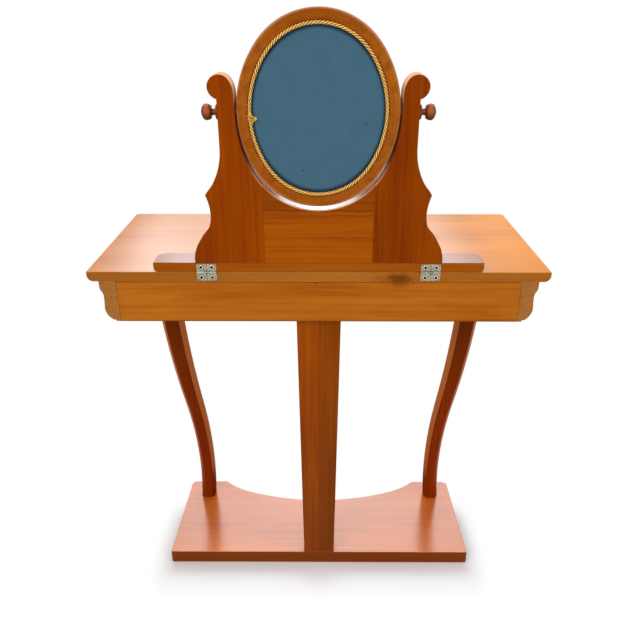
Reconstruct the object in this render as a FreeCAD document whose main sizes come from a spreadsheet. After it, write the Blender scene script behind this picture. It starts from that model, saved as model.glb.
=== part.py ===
"""Dressing table with a frieze drawer and an oval mirror on a stand that folds backwards.

Millimetres, +Z up. The sitter faces +Y, so the front is towards -Y and the hinged mirror stand is at
the rear. The origin is on the floor under the middle of the table top.
"""
import FreeCAD
import Part
import Sketcher
import os
import re

# Every driving size of the piece, in millimetres.
SIZES = {
    # Table top
    "table_width": 900,
    "table_depth": 385,
    "table_height": 785,
    "top_thickness": 20,
    "top_corner_radius": 9,
    "top_under_round": 12,
    "arris": 1,
    "cut_overrun": 5,
    # Frieze: the moulded box under the top
    "frieze_height": 86,
    "side_overhang": 21,
    "front_overhang": 21,
    "moulding_thickness": 33,
    "fascia_height": 12,
    "hollow_height": 19,
    "hollow_depth": 6,
    "fillet_height": 9,
    "belly_height": 17,
    "belly_depth": 1.5,
    "ovolo_inset": 15,
    "ovolo_drop": 26,
    "quirk_width": 4.5,
    "rail_thickness": 20,
    "rail_setback": 0.5,
    "bearer_thickness": 18,
    "bearer_lip": 10,
    "front_rail_depth": 40,
    "guide_width": 23,
    "guide_height": 14,
    "glue_block_length": 60,
    "glue_block_side": 20,
    "nail_radius": 1.1,
    "nail_length": 32,
    "nail_drop": 4,
    "nail_left": 184,
    "nail_middle": 6,
    "nail_right": 153,
    "nail_clearance": 0.03,
    # Rear post, in two glued halves
    "post_foot_width": 72,
    "post_head_width": 93,
    "post_thickness": 45,
    "post_tenon_width": 48,
    "post_tenon_thickness": 22,
    # Bent front legs
    "leg_setback": 195.5,
    "leg_thickness": 38,
    "leg_chamfer": 9,
    "leg_head_inset": 11,
    "leg_head_width": 51,
    "leg_head_rise": 90,
    "leg_sway": 68,
    "leg_waist_width": 35,
    "leg_waist_rise": 93,
    "leg_outer_bend": 1000,
    "leg_inner_bend": 1250,
    "leg_tenon_width": 24,
    "leg_tenon_thickness": 16,
    "leg_head_tenon": 15,
    "foot_tenon": 19,
    "tenon_clearance": 0.1,
    "tenon_end_gap": 0.5,
    # Base board with a hollowed front edge
    "base_thickness": 37,
    "base_depth": 262,
    "base_side_margin": 46.5,
    "base_taper": 7.5,
    "base_corner_radius": 14,
    "base_under_round": 6,
    "recess_margin": 22,
    "recess_crown": 33,
    "recess_end_run": 70,
    "recess_end_radius": 200,
    # Drawer
    "drawer_front_gap": 0.6,
    "drawer_side_gap": 0.5,
    "drawer_rest_gap": 0.2,
    "drawer_headroom": 6,
    "drawer_back_gap": 8,
    "drawer_wall": 12,
    "drawer_bottom_thickness": 5,
    "drawer_bottom_rise": 5,
    "drawer_groove": 5,
    "groove_clearance": 0.1,
    "side_housing": 10,
    "tail_width": 8,
    "tail_flare": 2,
    "drawer_knob_spread": 460,
    "drawer_knob_drop": 46,
    # Turned knobs, the same on the drawer and on the mirror pivots
    "knob_length": 30.5,
    "knob_radius": 14.3,
    "knob_dome_radius": 19,
    "knob_shoulder_radius": 7,
    "knob_collar_radius": 12,
    "knob_collar_length": 4.2,
    "knob_collar_round": 2.4,
    "knob_neck_radius": 7.2,
    "knob_neck_length": 8,
    "knob_cove_radius": 5.5,
    "knob_lip_radius": 11,
    "knob_seat_gap": 0.1,
    "knob_screw_radius": 2.5,
    "knob_screw_bite": 14,
    "knob_screw_head_radius": 5,
    "knob_screw_head_height": 3,
    # Mirror stand
    "stand_width": 636,
    "stand_board_depth": 54,
    "stand_board_thickness": 19,
    "stand_corner_radius": 17,
    "stand_end_round": 8,
    "upright_thickness": 36,
    "panel_width": 206,
    "pivot_rise": 276.25,
    "neck_width": 30.7,
    "neck_rise": 216,
    "cusp_step": 32.2,
    "cusp_rise": 131.5,
    "waist_step": 24.7,
    "waist_rise": 93,
    "foot_step": 61.3,
    "foot_rise": 3,
    "foot_round": 70,
    "head_offset": 24.9,
    "head_rise": 43.25,
    "head_radius": 21,
    "head_inner_radius": 45,
    "dowel_radius": 4,
    "dowel_depth": 14,
    "dowel_end_gap": 0.5,
    "dowel_clearance": 0.05,
    "panel_dowel_spread": 50,
    "upright_dowel_inner": 135,
    "upright_dowel_outer": 182,
    # Oval mirror
    "mirror_width": 287,
    "mirror_height": 334.5,
    "oval_shoulder": 11.5,
    "frame_thickness": 26,
    "frame_front_round": 7,
    "frame_rear_round": 3,
    "frame_band": 20.2,
    "sight_lip": 10.5,
    "sight_chamfer": 6,
    "lip_thickness": 13.5,
    "glass_thickness": 4,
    "glass_clearance": 0.5,
    "glass_bevel": 1.2,
    "backing_thickness": 4,
    "cord_radius": 3.75,
    "cord_clearance": 0.15,
    "knot_drop": 10,
    "knot_length": 6.5,
    "knot_radius": 3.8,
    "knot_tail_length": 12,
    "knot_tail_radius": 2.2,
    "cutout_side_gap": 1.5,
    "cutout_bottom_gap": 6,
    # Mirror pivots
    "pivot_rod_radius": 4,
    "pivot_rod_bite": 18.5,
    "pivot_rod_reach": 15,
    "pivot_clearance": 0.05,
    "washer_radius": 8,
    "washer_clearance": 0.15,
    # Butt hinges between the top and the stand
    "hinge_end_margin": 83,
    "hinge_length": 38,
    "leaf_corner": 2.5,
    "leaf_height": 17,
    "leaf_thickness": 1.5,
    "knuckle_radius": 2.2,
    "knuckle_clearance": 0.3,
    "hinge_pin_radius": 1.1,
    "hinge_pin_clearance": 0.05,
    "hinge_screw_spacing": 21,
    "hinge_screw_rise": 10.5,
    "hinge_screw_radius": 1.4,
    "hinge_screw_length": 14,
    "hinge_screw_head_radius": 2.8,
    "hinge_screw_head_height": 1.1,
    "hinge_screw_clearance": 0.05,
}

# Places and sizes that follow from the driving sizes.
PLACES = {
    # Planes of the table
    "rear_plane": "table_depth / 2",
    "front_plane": "-table_depth / 2",
    "frieze_top": "table_height - top_thickness",
    "frieze_bottom": "frieze_top - frieze_height",
    "frieze_half": "table_width / 2 - side_overhang",
    "frieze_front": "front_plane + front_overhang",
    "moulding_inner": "frieze_half - moulding_thickness",
    "rail_rear": "rear_plane - rail_setback",
    "rail_front": "rail_rear - rail_thickness",
    "front_back": "frieze_front + moulding_thickness",
    "frieze_start": "front_back + drawer_front_gap",
    "bearer_top": "frieze_bottom + bearer_thickness",
    "bearer_inner": "leg_head_inner - bearer_lip",
    "post_front": "rail_front - post_thickness",
    # Legs: outer and inner edge, each of two arcs that meet in a smooth turn
    "leg_rear": "rail_front - leg_setback",
    "leg_front": "leg_rear - leg_thickness",
    "leg_head_outer": "moulding_inner - leg_head_inset",
    "leg_head_inner": "leg_head_outer - leg_head_width",
    "leg_waist_outer": "leg_head_outer - leg_sway",
    "leg_waist_inner": "leg_waist_outer - leg_waist_width",
    "leg_waist_height": "base_thickness + leg_waist_rise",
    "leg_head_height": "frieze_bottom + leg_head_rise",
    "leg_sweep_height": "leg_head_height - leg_waist_height",
    "leg_inner_sway": "leg_head_inner - leg_waist_inner",
    "leg_outer_sum": "(leg_sway^2 + leg_sweep_height^2) / (2 * leg_sway)",
    "leg_inner_sum": "(leg_inner_sway^2 + leg_sweep_height^2) / (2 * leg_inner_sway)",
    "leg_outer_top_bend": "leg_outer_sum - leg_outer_bend",
    "leg_inner_top_bend": "leg_inner_sum - leg_inner_bend",
    "leg_foot_outer": "leg_waist_outer + leg_outer_bend - sqrt(leg_outer_bend^2 - leg_waist_rise^2)",
    "leg_foot_inner": "leg_waist_inner + leg_inner_bend - sqrt(leg_inner_bend^2 - leg_waist_rise^2)",
    "leg_turn_outer": "leg_waist_outer + leg_sway * leg_outer_bend / leg_outer_sum",
    "leg_turn_inner": "leg_waist_inner + leg_inner_sway * leg_inner_bend / leg_inner_sum",
    "leg_turn_outer_height": "leg_waist_height + leg_sweep_height * leg_outer_bend / leg_outer_sum",
    "leg_turn_inner_height": "leg_waist_height + leg_sweep_height * leg_inner_bend / leg_inner_sum",
    "leg_top_outer": "leg_head_outer - leg_outer_top_bend + sqrt(leg_outer_top_bend^2 - leg_head_rise^2)",
    "leg_top_inner": "leg_head_inner - leg_inner_top_bend + sqrt(leg_inner_top_bend^2 - leg_head_rise^2)",
    "leg_foot_middle": "(leg_foot_outer + leg_foot_inner) / 2",
    "leg_top_middle": "(leg_top_outer + leg_top_inner) / 2",
    "leg_middle": "(leg_front + leg_rear) / 2",
    "post_middle": "(rail_front + post_front) / 2",
    # Base board
    "base_rear": "rail_front",
    "base_front": "base_rear - base_depth",
    "base_rear_half": "leg_waist_outer + base_side_margin",
    "base_front_half": "base_rear_half - base_taper",
    "recess_half": "leg_waist_inner - recess_margin",
    "recess_join": "recess_half - recess_end_run",
    "recess_radius": "(recess_join^2 + recess_crown^2) / (2 * recess_crown)",
    "recess_join_rise": "recess_end_radius * (recess_radius - recess_crown) / recess_radius",
    "recess_end_reach": "recess_end_radius * recess_join / recess_radius + recess_end_run",
    "recess_end_depth": "recess_join_rise - sqrt(recess_end_radius^2 - recess_end_reach^2)",
    # Drawer
    "drawer_half": "moulding_inner - guide_width - drawer_side_gap",
    "drawer_inner_half": "drawer_half - drawer_wall",
    "drawer_low": "bearer_top + drawer_rest_gap",
    "drawer_high": "frieze_top - drawer_headroom",
    "drawer_rear": "post_front - drawer_back_gap",
    "drawer_back_front": "drawer_rear - drawer_wall",
    "drawer_floor": "drawer_low + drawer_bottom_rise",
    "drawer_floor_top": "drawer_floor + drawer_bottom_thickness",
    "drawer_knob_height": "frieze_top - drawer_knob_drop",
    "drawer_knob_seat": "frieze_front + hollow_depth - belly_depth - knob_seat_gap",
    # Mirror: an oval of four arcs, two at the ends and two at the sides
    "stand_top": "table_height + stand_board_thickness",
    "pivot_height": "stand_top + pivot_rise",
    "pivot_depth": "rear_plane - upright_thickness / 2",
    "mirror_half": "mirror_width / 2",
    "oval_end": "mirror_half - oval_shoulder",
    "oval_rise": "mirror_height / 2 - oval_end",
    "oval_side": "(mirror_half^2 + oval_rise^2 - oval_end^2) / (2 * oval_shoulder)",
    "oval_turn_across": "(oval_side - mirror_half) / (oval_side - oval_end)",
    "oval_turn_up": "oval_rise / (oval_side - oval_end)",
    "frame_front": "pivot_depth - frame_thickness / 2",
    "frame_rear": "pivot_depth + frame_thickness / 2",
    "glass_front": "frame_front + lip_thickness",
    "backing_front": "glass_front + glass_thickness",
    "backing_rear": "backing_front + backing_thickness",
    "cord_inset": "frame_band + cord_radius + cord_clearance",
    "cord_depth": "backing_rear + cord_radius + cord_clearance",
    "knot_height": "pivot_height - knot_drop",
    "knot_across": "mirror_half - cord_inset - cord_radius - knot_radius - 4 * cord_clearance",
    "knot_depth": "backing_rear + knot_radius + cord_clearance",
    # Upright: the oval opening, then the outline from foot to scrolled head
    "cutout_half": "mirror_half + cutout_side_gap",
    "cutout_end": "oval_end + cutout_bottom_gap",
    "cutout_side": "(cutout_half^2 + oval_rise^2 - cutout_end^2) / (2 * (cutout_half - cutout_end))",
    "cutout_turn_across": "cutout_end * (cutout_side - cutout_half) / (cutout_side - cutout_end)",
    "cutout_turn_up": "oval_rise + cutout_end * oval_rise / (cutout_side - cutout_end)",
    "panel_half": "panel_width / 2",
    "neck_half": "cutout_half + neck_width",
    "neck_height": "stand_top + neck_rise",
    "cusp_half": "neck_half + cusp_step",
    "cusp_height": "stand_top + cusp_rise",
    "waist_half": "neck_half + waist_step",
    "waist_height": "stand_top + waist_rise",
    "foot_half": "neck_half + foot_step",
    "foot_height": "stand_top + foot_rise",
    "foot_in": "foot_half - waist_half",
    "foot_up": "waist_height - foot_height",
    "foot_sum": "(foot_in^2 + foot_up^2) / (2 * foot_in)",
    "waist_round": "foot_sum - foot_round",
    "foot_turn": "foot_half - foot_in * foot_round / foot_sum",
    "foot_turn_height": "foot_height + foot_up * foot_round / foot_sum",
    "cusp_rise_radius": "((cusp_half - waist_half)^2 + (cusp_height - waist_height)^2) "
                        "/ (2 * (cusp_half - waist_half))",
    "neck_radius": "(cusp_step^2 + (neck_height - cusp_height)^2) / (2 * cusp_step)",
    "head_half": "cutout_half + head_offset",
    "head_height": "pivot_height + head_rise",
    "notch_height": "head_height - sqrt(head_radius^2 - (neck_half - head_half)^2)",
    "head_reach": "head_inner_radius - head_radius",
    "head_lean": "head_inner_radius - head_offset",
    "head_drop": "sqrt(head_reach^2 - head_lean^2)",
    "head_turn": "head_half - head_radius * head_lean / head_reach",
    "head_turn_height": "head_height + head_radius * head_drop / head_reach",
    # Pivots and hinges
    "pivot_inner_end": "mirror_half - pivot_rod_bite",
    "washer_start": "mirror_half + washer_clearance",
    "washer_end": "cutout_half - cutout_side + sqrt(cutout_side^2 - washer_radius^2) - washer_clearance",
    "knob_seat": "neck_half + knob_seat_gap",
    "hinge_middle": "stand_width / 2 - hinge_end_margin - hinge_length / 2",
    "hinge_start": "hinge_middle - hinge_length / 2",
    "knuckle_length": "hinge_length / 3",
    "hinge_axis_depth": "rear_plane + knuckle_radius + knuckle_clearance",
    "leaf_rear": "rear_plane + leaf_thickness",
    # Turned knob, measured from its seat
    "knob_neck_end": "knob_collar_length + knob_neck_length",
    "dome_middle": "knob_length - knob_dome_radius",
    "shoulder_up": "knob_radius - knob_shoulder_radius",
    "dome_less_shoulder": "knob_dome_radius - knob_shoulder_radius",
    "shoulder_along": "sqrt(dome_less_shoulder^2 - shoulder_up^2)",
    "shoulder_middle": "dome_middle + shoulder_along",
    "dome_turn": "dome_middle + knob_dome_radius * shoulder_along / dome_less_shoulder",
    "dome_turn_radius": "knob_dome_radius * shoulder_up / dome_less_shoulder",
    "knob_back_run": "shoulder_middle - knob_neck_end",
    "knob_back_rise": "knob_radius - knob_lip_radius",
    "knob_back_round": "(knob_back_run^2 + knob_back_rise^2) / (2 * knob_back_rise)",
}

LEFT_TURN = 1
RIGHT_TURN = -1
TAIL_COUNT = 3
# Lengths closer than SAME count as equal, and edges under SHORT are left sharp.
SAME = 0.001
SHORT = 1
TURN_TO = {
    "x": FreeCAD.Rotation(FreeCAD.Vector(0, 1, 0), 90),
    "y": FreeCAD.Rotation(FreeCAD.Vector(1, 0, 0), -90),
    "z": FreeCAD.Rotation(),
}

doc = FreeCAD.newDocument("dressing_table")
pieces = {}


def cell_reference(match):
    """The sheet cell that a plain name stands for, or the word itself where it is a function."""
    name = match.group(0)
    if name in SIZES:
        return "Sizes." + name
    if name in PLACES:
        return "Places." + name
    return name


def bind(formula):
    """A formula in plain names, turned into one that reads the two sheets."""
    return re.sub(r"[a-z_]+", cell_reference, formula)


def fill_sheet(name, cells):
    """A sheet with one named cell on each row."""
    sheet = doc.addObject("Spreadsheet::Sheet", name)
    for row, (alias, content) in enumerate(cells.items(), start=1):
        sheet.set(f"A{row}", alias)
        sheet.set(f"B{row}", content)
        sheet.setAlias(f"B{row}", alias)
    return sheet


sizes = fill_sheet("Sizes", {name: str(size) for name, size in SIZES.items()})
fill_sheet("Places", {name: "=" + bind(formula) for name, formula in PLACES.items()})
doc.recompute()


def value(formula):
    """What a formula comes to, in millimetres."""
    return float(sizes.evalExpression(bind(formula)))


def place_at(thing, corner):
    """Bind a piece's position to three formulas."""
    for letter, formula in zip("xyz", corner):
        thing.setExpression("Placement.Base." + letter, bind(formula))


def block(name, across, along, up):
    """A rectangular block; each argument is its lower and upper formula on X, Y and Z."""
    made = doc.addObject("Part::Box", name)
    for side, (low, high) in zip(("Length", "Width", "Height"), (across, along, up)):
        made.setExpression(side, bind(f"({high}) - ({low})"))
    place_at(made, (across[0], along[0], up[0]))
    return made


def rod(name, axis, start, length, radius):
    """A round bar from a start point along the named axis."""
    made = doc.addObject("Part::Cylinder", name)
    made.Placement = FreeCAD.Placement(FreeCAD.Vector(), TURN_TO[axis])
    made.setExpression("Height", bind(length))
    made.setExpression("Radius", bind(radius))
    place_at(made, start)
    return made


def join(name, parts):
    """Several solids as one tool or one piece."""
    made = doc.addObject("Part::MultiFuse", name)
    made.Shapes = parts
    return made


def cut(name, base, tools):
    """A piece with one or more tools taken out of it."""
    made = doc.addObject("Part::Cut", name)
    made.Base = base
    made.Tool = tools[0] if len(tools) == 1 else join(name + "_tools", tools)
    return made


def group(name, parts):
    """Separate solids of one kind that share a node."""
    made = doc.addObject("Part::Compound", name)
    made.Links = parts
    return made


def mirror(name, source):
    """The same piece on the other side of the middle plane."""
    made = doc.addObject("Part::Mirroring", name)
    made.Source = source
    made.Normal = FreeCAD.Vector(1, 0, 0)
    return made


def keep(label, piece):
    """Name a finished piece, so that it is written out."""
    piece.Label = label
    pieces[label] = piece


def keep_pair(label, right_piece):
    """A finished piece of the right side and its mirror image; the label has SIDE in it."""
    keep(label.replace("SIDE", "right"), right_piece)
    left = label.replace("SIDE", "left")
    keep(left, mirror(left + "_mirror", right_piece))


def new_body(name):
    return doc.addObject("PartDesign::Body", name)


def arc_between(start, end, radius, turn):
    """The shorter arc between two points that turns left or right on the way."""
    chord = end.sub(start)
    middle = (start + end) * 0.5
    height = max(radius ** 2 - (chord.Length / 2) ** 2, 0) ** 0.5
    leftwards = FreeCAD.Vector(-chord.y, chord.x, 0).normalize()
    centre = middle + leftwards * (height * turn)
    first, last = (start, end) if turn == LEFT_TURN else (end, start)
    angles = [FreeCAD.Vector(1, 0, 0).getAngle(point - centre) for point in (first, last)]
    for index, point in enumerate((first, last)):
        if point.y < centre.y:
            angles[index] = -angles[index]
    circle = Part.Circle(centre, FreeCAD.Vector(0, 0, 1), radius)
    return Part.ArcOfCircle(circle, angles[0], angles[1])


def outline(body, name, plane, steps, offset=("0", "0", "0")):
    """A closed sketch through the given corners.

    A step is (across, up) where a straight run leads to the next corner, and (across, up, radius, turn)
    where an arc does. The offset shifts the sketch within its plane and along the plane's normal.
    """
    sketch = body.newObject("Sketcher::SketchObject", name)
    sketch.AttachmentSupport = [(next(f for f in body.Origin.OriginFeatures if f.Role == plane), "")]
    sketch.MapMode = "FlatFace"
    for letter, formula in zip("xyz", offset):
        sketch.setExpression("AttachmentOffset.Base." + letter, bind(formula))
    corners = [FreeCAD.Vector(value(step[0]), value(step[1]), 0) for step in steps]
    count = len(steps)
    starts = []
    ends = []
    for index, step in enumerate(steps):
        here = corners[index]
        there = corners[(index + 1) % count]
        turn = step[3] if len(step) > 2 else LEFT_TURN
        if len(step) > 2:
            sketch.addGeometry(arc_between(here, there, value(step[2]), turn))
        else:
            sketch.addGeometry(Part.LineSegment(here, there))
        starts.append(1 if turn == LEFT_TURN else 2)
        ends.append(2 if turn == LEFT_TURN else 1)
    for index in range(count):
        following = (index + 1) % count
        sketch.addConstraint(
            Sketcher.Constraint("Coincident", index, ends[index], following, starts[following]))
    for index, step in enumerate(steps):
        for kind, formula in (("DistanceX", step[0]), ("DistanceY", step[1])):
            fixed = Sketcher.Constraint(kind, -1, 1, index, starts[index], value(formula))
            number = sketch.addConstraint(fixed)
            sketch.setExpression(f"Constraints[{number}]", bind(formula))
        if len(step) > 2:
            number = sketch.addConstraint(Sketcher.Constraint("Radius", index, value(step[2])))
            sketch.setExpression(f"Constraints[{number}]", bind(step[2]))
    return sketch


def rectangle(across, up):
    """The four steps round a rectangle between two formulas each way."""
    return [(across[0], up[0]), (across[1], up[0]), (across[1], up[1]), (across[0], up[1])]


def pad(body, name, sketch, length):
    """Thicken a sketch along its plane's normal: up from XY, forwards from XZ, rightwards from YZ."""
    made = body.newObject("PartDesign::Pad", name)
    made.Profile = sketch
    made.setExpression("Length", bind(length))
    doc.recompute()
    return made


def pocket(body, name, sketch, depth, reverse):
    """Cut a sketch into the solid, and make sure that the cut really takes wood away."""
    before = body.Shape.Volume
    made = body.newObject("PartDesign::Pocket", name)
    made.Profile = sketch
    made.Reversed = reverse
    made.setExpression("Length", bind(depth))
    doc.recompute()
    if body.Shape.Volume >= before:
        raise ValueError(f"{name} cuts nothing")
    return made


def edge_names(shape, wanted):
    return [f"Edge{number}" for number, edge in enumerate(shape.Edges, start=1) if wanted(edge)]


def lies_on(edge, axis, formula):
    """Whether an edge lies whole in the plane where the axis has the formula's value."""
    box = edge.BoundBox
    level = value(formula)
    low, high = getattr(box, axis + "Min"), getattr(box, axis + "Max")
    return abs(low - level) < SAME and abs(high - level) < SAME


def is_upright(edge):
    return edge.BoundBox.ZLength > SAME and edge.BoundBox.XLength + edge.BoundBox.YLength < SAME


def soften(body, name, kind, size, wanted):
    """Round or chamfer the wanted edges of the body as it stands."""
    base = body.Tip
    made = body.newObject("PartDesign::" + kind, name)
    made.Base = (base, edge_names(base.Shape, wanted))
    made.setExpression("Radius" if kind == "Fillet" else "Size", bind(size))
    doc.recompute()
    return made


def make_table_top():
    """The top: square behind, rounded under at the sides and the front."""
    body = new_body("TopBody")
    board = rectangle(("-table_width / 2", "table_width / 2"), ("front_plane", "rear_plane"))
    pad(body, "TopBoard", outline(body, "TopOutline", "XY_Plane", board, ("0", "0", "frieze_top")),
        "top_thickness")
    soften(body, "TopCorners", "Fillet", "top_corner_radius",
           lambda edge: is_upright(edge) and lies_on(edge, "Y", "front_plane"))
    soften(body, "TopUnderRound", "Fillet", "top_under_round",
           lambda edge: lies_on(edge, "Z", "frieze_top") and not lies_on(edge, "Y", "rear_plane"))
    soften(body, "TopArris", "Fillet", "arris", lambda edge: lies_on(edge, "Z", "table_height"))
    keep("table_top", cut("TopBored", body, hinge_screw_bores("TopPilot", "-hinge_screw_rise")))


def make_base():
    """The floor board, with a hollowed front edge and mortises for the post and the legs."""
    body = new_body("BaseBody")
    hollow_join = "base_front + recess_end_depth"
    steps = [
        ("-base_rear_half", "base_rear"),
        ("-base_front_half", "base_front"),
        ("-recess_half", "base_front", "recess_end_radius", RIGHT_TURN),
        ("-recess_join", hollow_join, "recess_radius", RIGHT_TURN),
        ("recess_join", hollow_join, "recess_end_radius", RIGHT_TURN),
        ("recess_half", "base_front"),
        ("base_front_half", "base_front"),
        ("base_rear_half", "base_rear"),
    ]
    pad(body, "BaseBoard", outline(body, "BaseOutline", "XY_Plane", steps), "base_thickness")
    corner = value("base_front_half")
    soften(body, "BaseCorners", "Fillet", "base_corner_radius",
           lambda edge: is_upright(edge) and abs(abs(edge.CenterOfMass.x) - corner) < SAME)
    soften(body, "BaseUnderRound", "Fillet", "base_under_round", lambda edge: lies_on(edge, "Z", "0"))
    soften(body, "BaseArris", "Fillet", "arris", lambda edge: lies_on(edge, "Z", "base_thickness"))
    up = ("base_thickness - foot_tenon - tenon_end_gap", "base_thickness + cut_overrun")
    sockets = [block("PostMortise", *tenon_span("0", "post_tenon_width", "post_middle",
                                                "post_tenon_thickness", "tenon_clearance"), up)]
    for name, middle in (("RightMortise", "leg_foot_middle"), ("LeftMortise", "-leg_foot_middle")):
        sockets.append(block(name, *tenon_span(middle, "leg_tenon_width", "leg_middle",
                                               "leg_tenon_thickness", "tenon_clearance"), up))
    keep("base_board", cut("BaseMortised", body, sockets))


def tenon_span(across_middle, width, along_middle, thickness, spare="0"):
    """The X and Y spans of a tenon about its middle, or of its mortise with some spare room."""
    across = (f"{across_middle} - {width} / 2 - {spare}", f"{across_middle} + {width} / 2 + {spare}")
    along = (f"{along_middle} - {thickness} / 2 - {spare}", f"{along_middle} + {thickness} / 2 + {spare}")
    return across, along


def make_post():
    """The tapering rear post: two halves glued along the middle, tenoned together into the base."""
    body = new_body("PostBody")
    steps = [
        ("0", "base_thickness"),
        ("post_foot_width / 2", "base_thickness"),
        ("post_head_width / 2", "frieze_top"),
        ("0", "frieze_top"),
    ]
    pad(body, "PostHalf", outline(body, "PostOutline", "XZ_Plane", steps, ("0", "0", "-rail_front")),
        "post_thickness")
    foot = value("post_foot_width") / 2
    soften(body, "PostArris", "Fillet", "arris",
           lambda edge: edge.BoundBox.ZLength > SHORT and edge.BoundBox.XMin > foot - SAME)
    along = tenon_span("0", "post_tenon_width", "post_middle", "post_tenon_thickness")[1]
    tenon = block("PostTenon", ("0", "post_tenon_width / 2"), along,
                  ("base_thickness - foot_tenon", "base_thickness"))
    half = join("PostHalfTenoned", [body, tenon])
    bored = cut("PostHalfBored", half, [nail_bore("PostNailBore", "nail_middle")])
    keep("rear_post_right", bored)
    keep("rear_post_left", mirror("PostLeft", half))


def make_legs():
    """The bent front legs: eight-sided, with a tenon at each end."""
    body = new_body("LegBody")
    steps = [
        ("leg_foot_inner", "base_thickness"),
        ("leg_foot_outer", "base_thickness", "leg_outer_bend", RIGHT_TURN),
        ("leg_turn_outer", "leg_turn_outer_height", "leg_outer_top_bend", LEFT_TURN),
        ("leg_top_outer", "frieze_bottom"),
        ("leg_top_inner", "frieze_bottom", "leg_inner_top_bend", RIGHT_TURN),
        ("leg_turn_inner", "leg_turn_inner_height", "leg_inner_bend", LEFT_TURN),
    ]
    pad(body, "LegBlank", outline(body, "LegOutline", "XZ_Plane", steps, ("0", "0", "-leg_rear")),
        "leg_thickness")
    soften(body, "LegChamfers", "Chamfer", "leg_chamfer",
           lambda edge: edge.BoundBox.ZLength > SHORT and edge.BoundBox.YLength < SAME)
    foot = block("LegFootTenon", *tenon_span("leg_foot_middle", "leg_tenon_width", "leg_middle",
                                             "leg_tenon_thickness"),
                 ("base_thickness - foot_tenon", "base_thickness"))
    head = block("LegHeadTenon", *tenon_span("leg_top_middle", "leg_tenon_width", "leg_middle",
                                             "leg_tenon_thickness"),
                 ("frieze_bottom", "frieze_bottom + leg_head_tenon"))
    keep_pair("SIDE_leg", join("LegTenoned", [body, foot, head]))


def moulding_steps(face, outwards, top):
    """The frieze moulding from its top edge down to its quirk; outwards is 1 or -1 along the axis."""

    def step(inset, drop, *arc):
        return (f"{face} - {outwards} * ({inset})", f"frieze_top - ({drop})", *arc)

    turn_in = LEFT_TURN if outwards < 0 else RIGHT_TURN
    hollow_end = "fascia_height + hollow_height"
    belly = "hollow_depth - belly_depth"
    belly_start = f"{hollow_end} + fillet_height"
    belly_end = f"{belly_start} + belly_height"
    ogee = "(hollow_depth^2 + hollow_height^2) / (4 * hollow_depth)"
    ovolo = "(ovolo_inset^2 + ovolo_drop^2) / (2 * ovolo_inset)"
    quirk = f"{belly} + ovolo_inset"
    ovolo_end = f"{belly_end} + ovolo_drop"
    return [
        (f"{face}", top),
        step("0", "fascia_height", ogee, turn_in),
        step("hollow_depth / 2", "fascia_height + hollow_height / 2", ogee, -turn_in),
        step("hollow_depth", hollow_end),
        step("hollow_depth", belly_start),
        step(belly, belly_end, ovolo, turn_in),
        step(quirk, ovolo_end),
        step(f"{quirk} + quirk_width", ovolo_end),
        step(f"{quirk} + quirk_width", "frieze_height"),
    ]


def make_frieze():
    """The rail, mouldings, bearers, guides and blocks that make the box under the top."""
    inner = ("-moulding_inner", "moulding_inner")
    rail = block("RailBoard", inner, ("rail_front", "rail_rear"), ("frieze_bottom", "frieze_top"))
    nails = ("-nail_left", "nail_middle", "nail_right")
    bores = [nail_bore(f"RailNailBore{number}", across) for number, across in enumerate(nails)]
    keep("rear_rail", cut("RailBored", rail, bores))

    body = new_body("MouldingBody")
    profile = moulding_steps("frieze_half", 1, "frieze_top")
    profile += [("moulding_inner", "frieze_bottom"), ("moulding_inner", "frieze_top")]
    sketch = outline(body, "MouldingProfile", "XZ_Plane", profile, ("0", "0", "-rail_rear"))
    pad(body, "MouldingRun", sketch, "rail_rear - frieze_start")
    keep_pair("SIDE_side_moulding", body)

    level = ("frieze_bottom", "bearer_top")
    bearer = block("BearerBoard", ("bearer_inner", "moulding_inner"), ("frieze_start", "rail_front"), level)
    socket = block("BearerMortise", *tenon_span("leg_top_middle", "leg_tenon_width", "leg_middle",
                                                "leg_tenon_thickness", "tenon_clearance"),
                   ("frieze_bottom - cut_overrun", "frieze_bottom + leg_head_tenon + tenon_end_gap"))
    keep_pair("SIDE_bearer", cut("BearerMortised", bearer, [socket]))
    keep("front_rail", block("FrontRail", ("-bearer_inner", "bearer_inner"),
                             ("frieze_start", "frieze_start + front_rail_depth"), level))
    guide = block("Guide", ("moulding_inner - guide_width", "moulding_inner"),
                  ("frieze_start", "rail_front"), ("bearer_top", "bearer_top + guide_height"))
    keep_pair("SIDE_drawer_guide", guide)

    blocks = []
    for number, across in ((0, "-nail_left"), (2, "nail_right")):
        half = "glue_block_length / 2"
        glued = block(f"GlueBlock{number}", (f"{across} - {half}", f"{across} + {half}"),
                      ("rail_front - glue_block_side", "rail_front"),
                      ("frieze_top - glue_block_side", "frieze_top"))
        blocks.append(cut(f"GlueBlockBored{number}", glued, [nail_bore(f"BlockNailBore{number}", across)]))
    keep("rear_glue_blocks", group("GlueBlocks", blocks))
    driven = [rear_nail(f"Nail{number}", across, "nail_radius") for number, across in enumerate(nails)]
    keep("rear_rail_nails", group("Nails", driven))


def rear_nail(name, across, radius):
    """A nail driven forwards through the rear rail, just under the top."""
    return rod(name, "y", (across, "rail_rear - nail_length", "frieze_top - nail_drop"), "nail_length",
               radius)


def nail_bore(name, across):
    return rear_nail(name, across, "nail_radius + nail_clearance")


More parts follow.
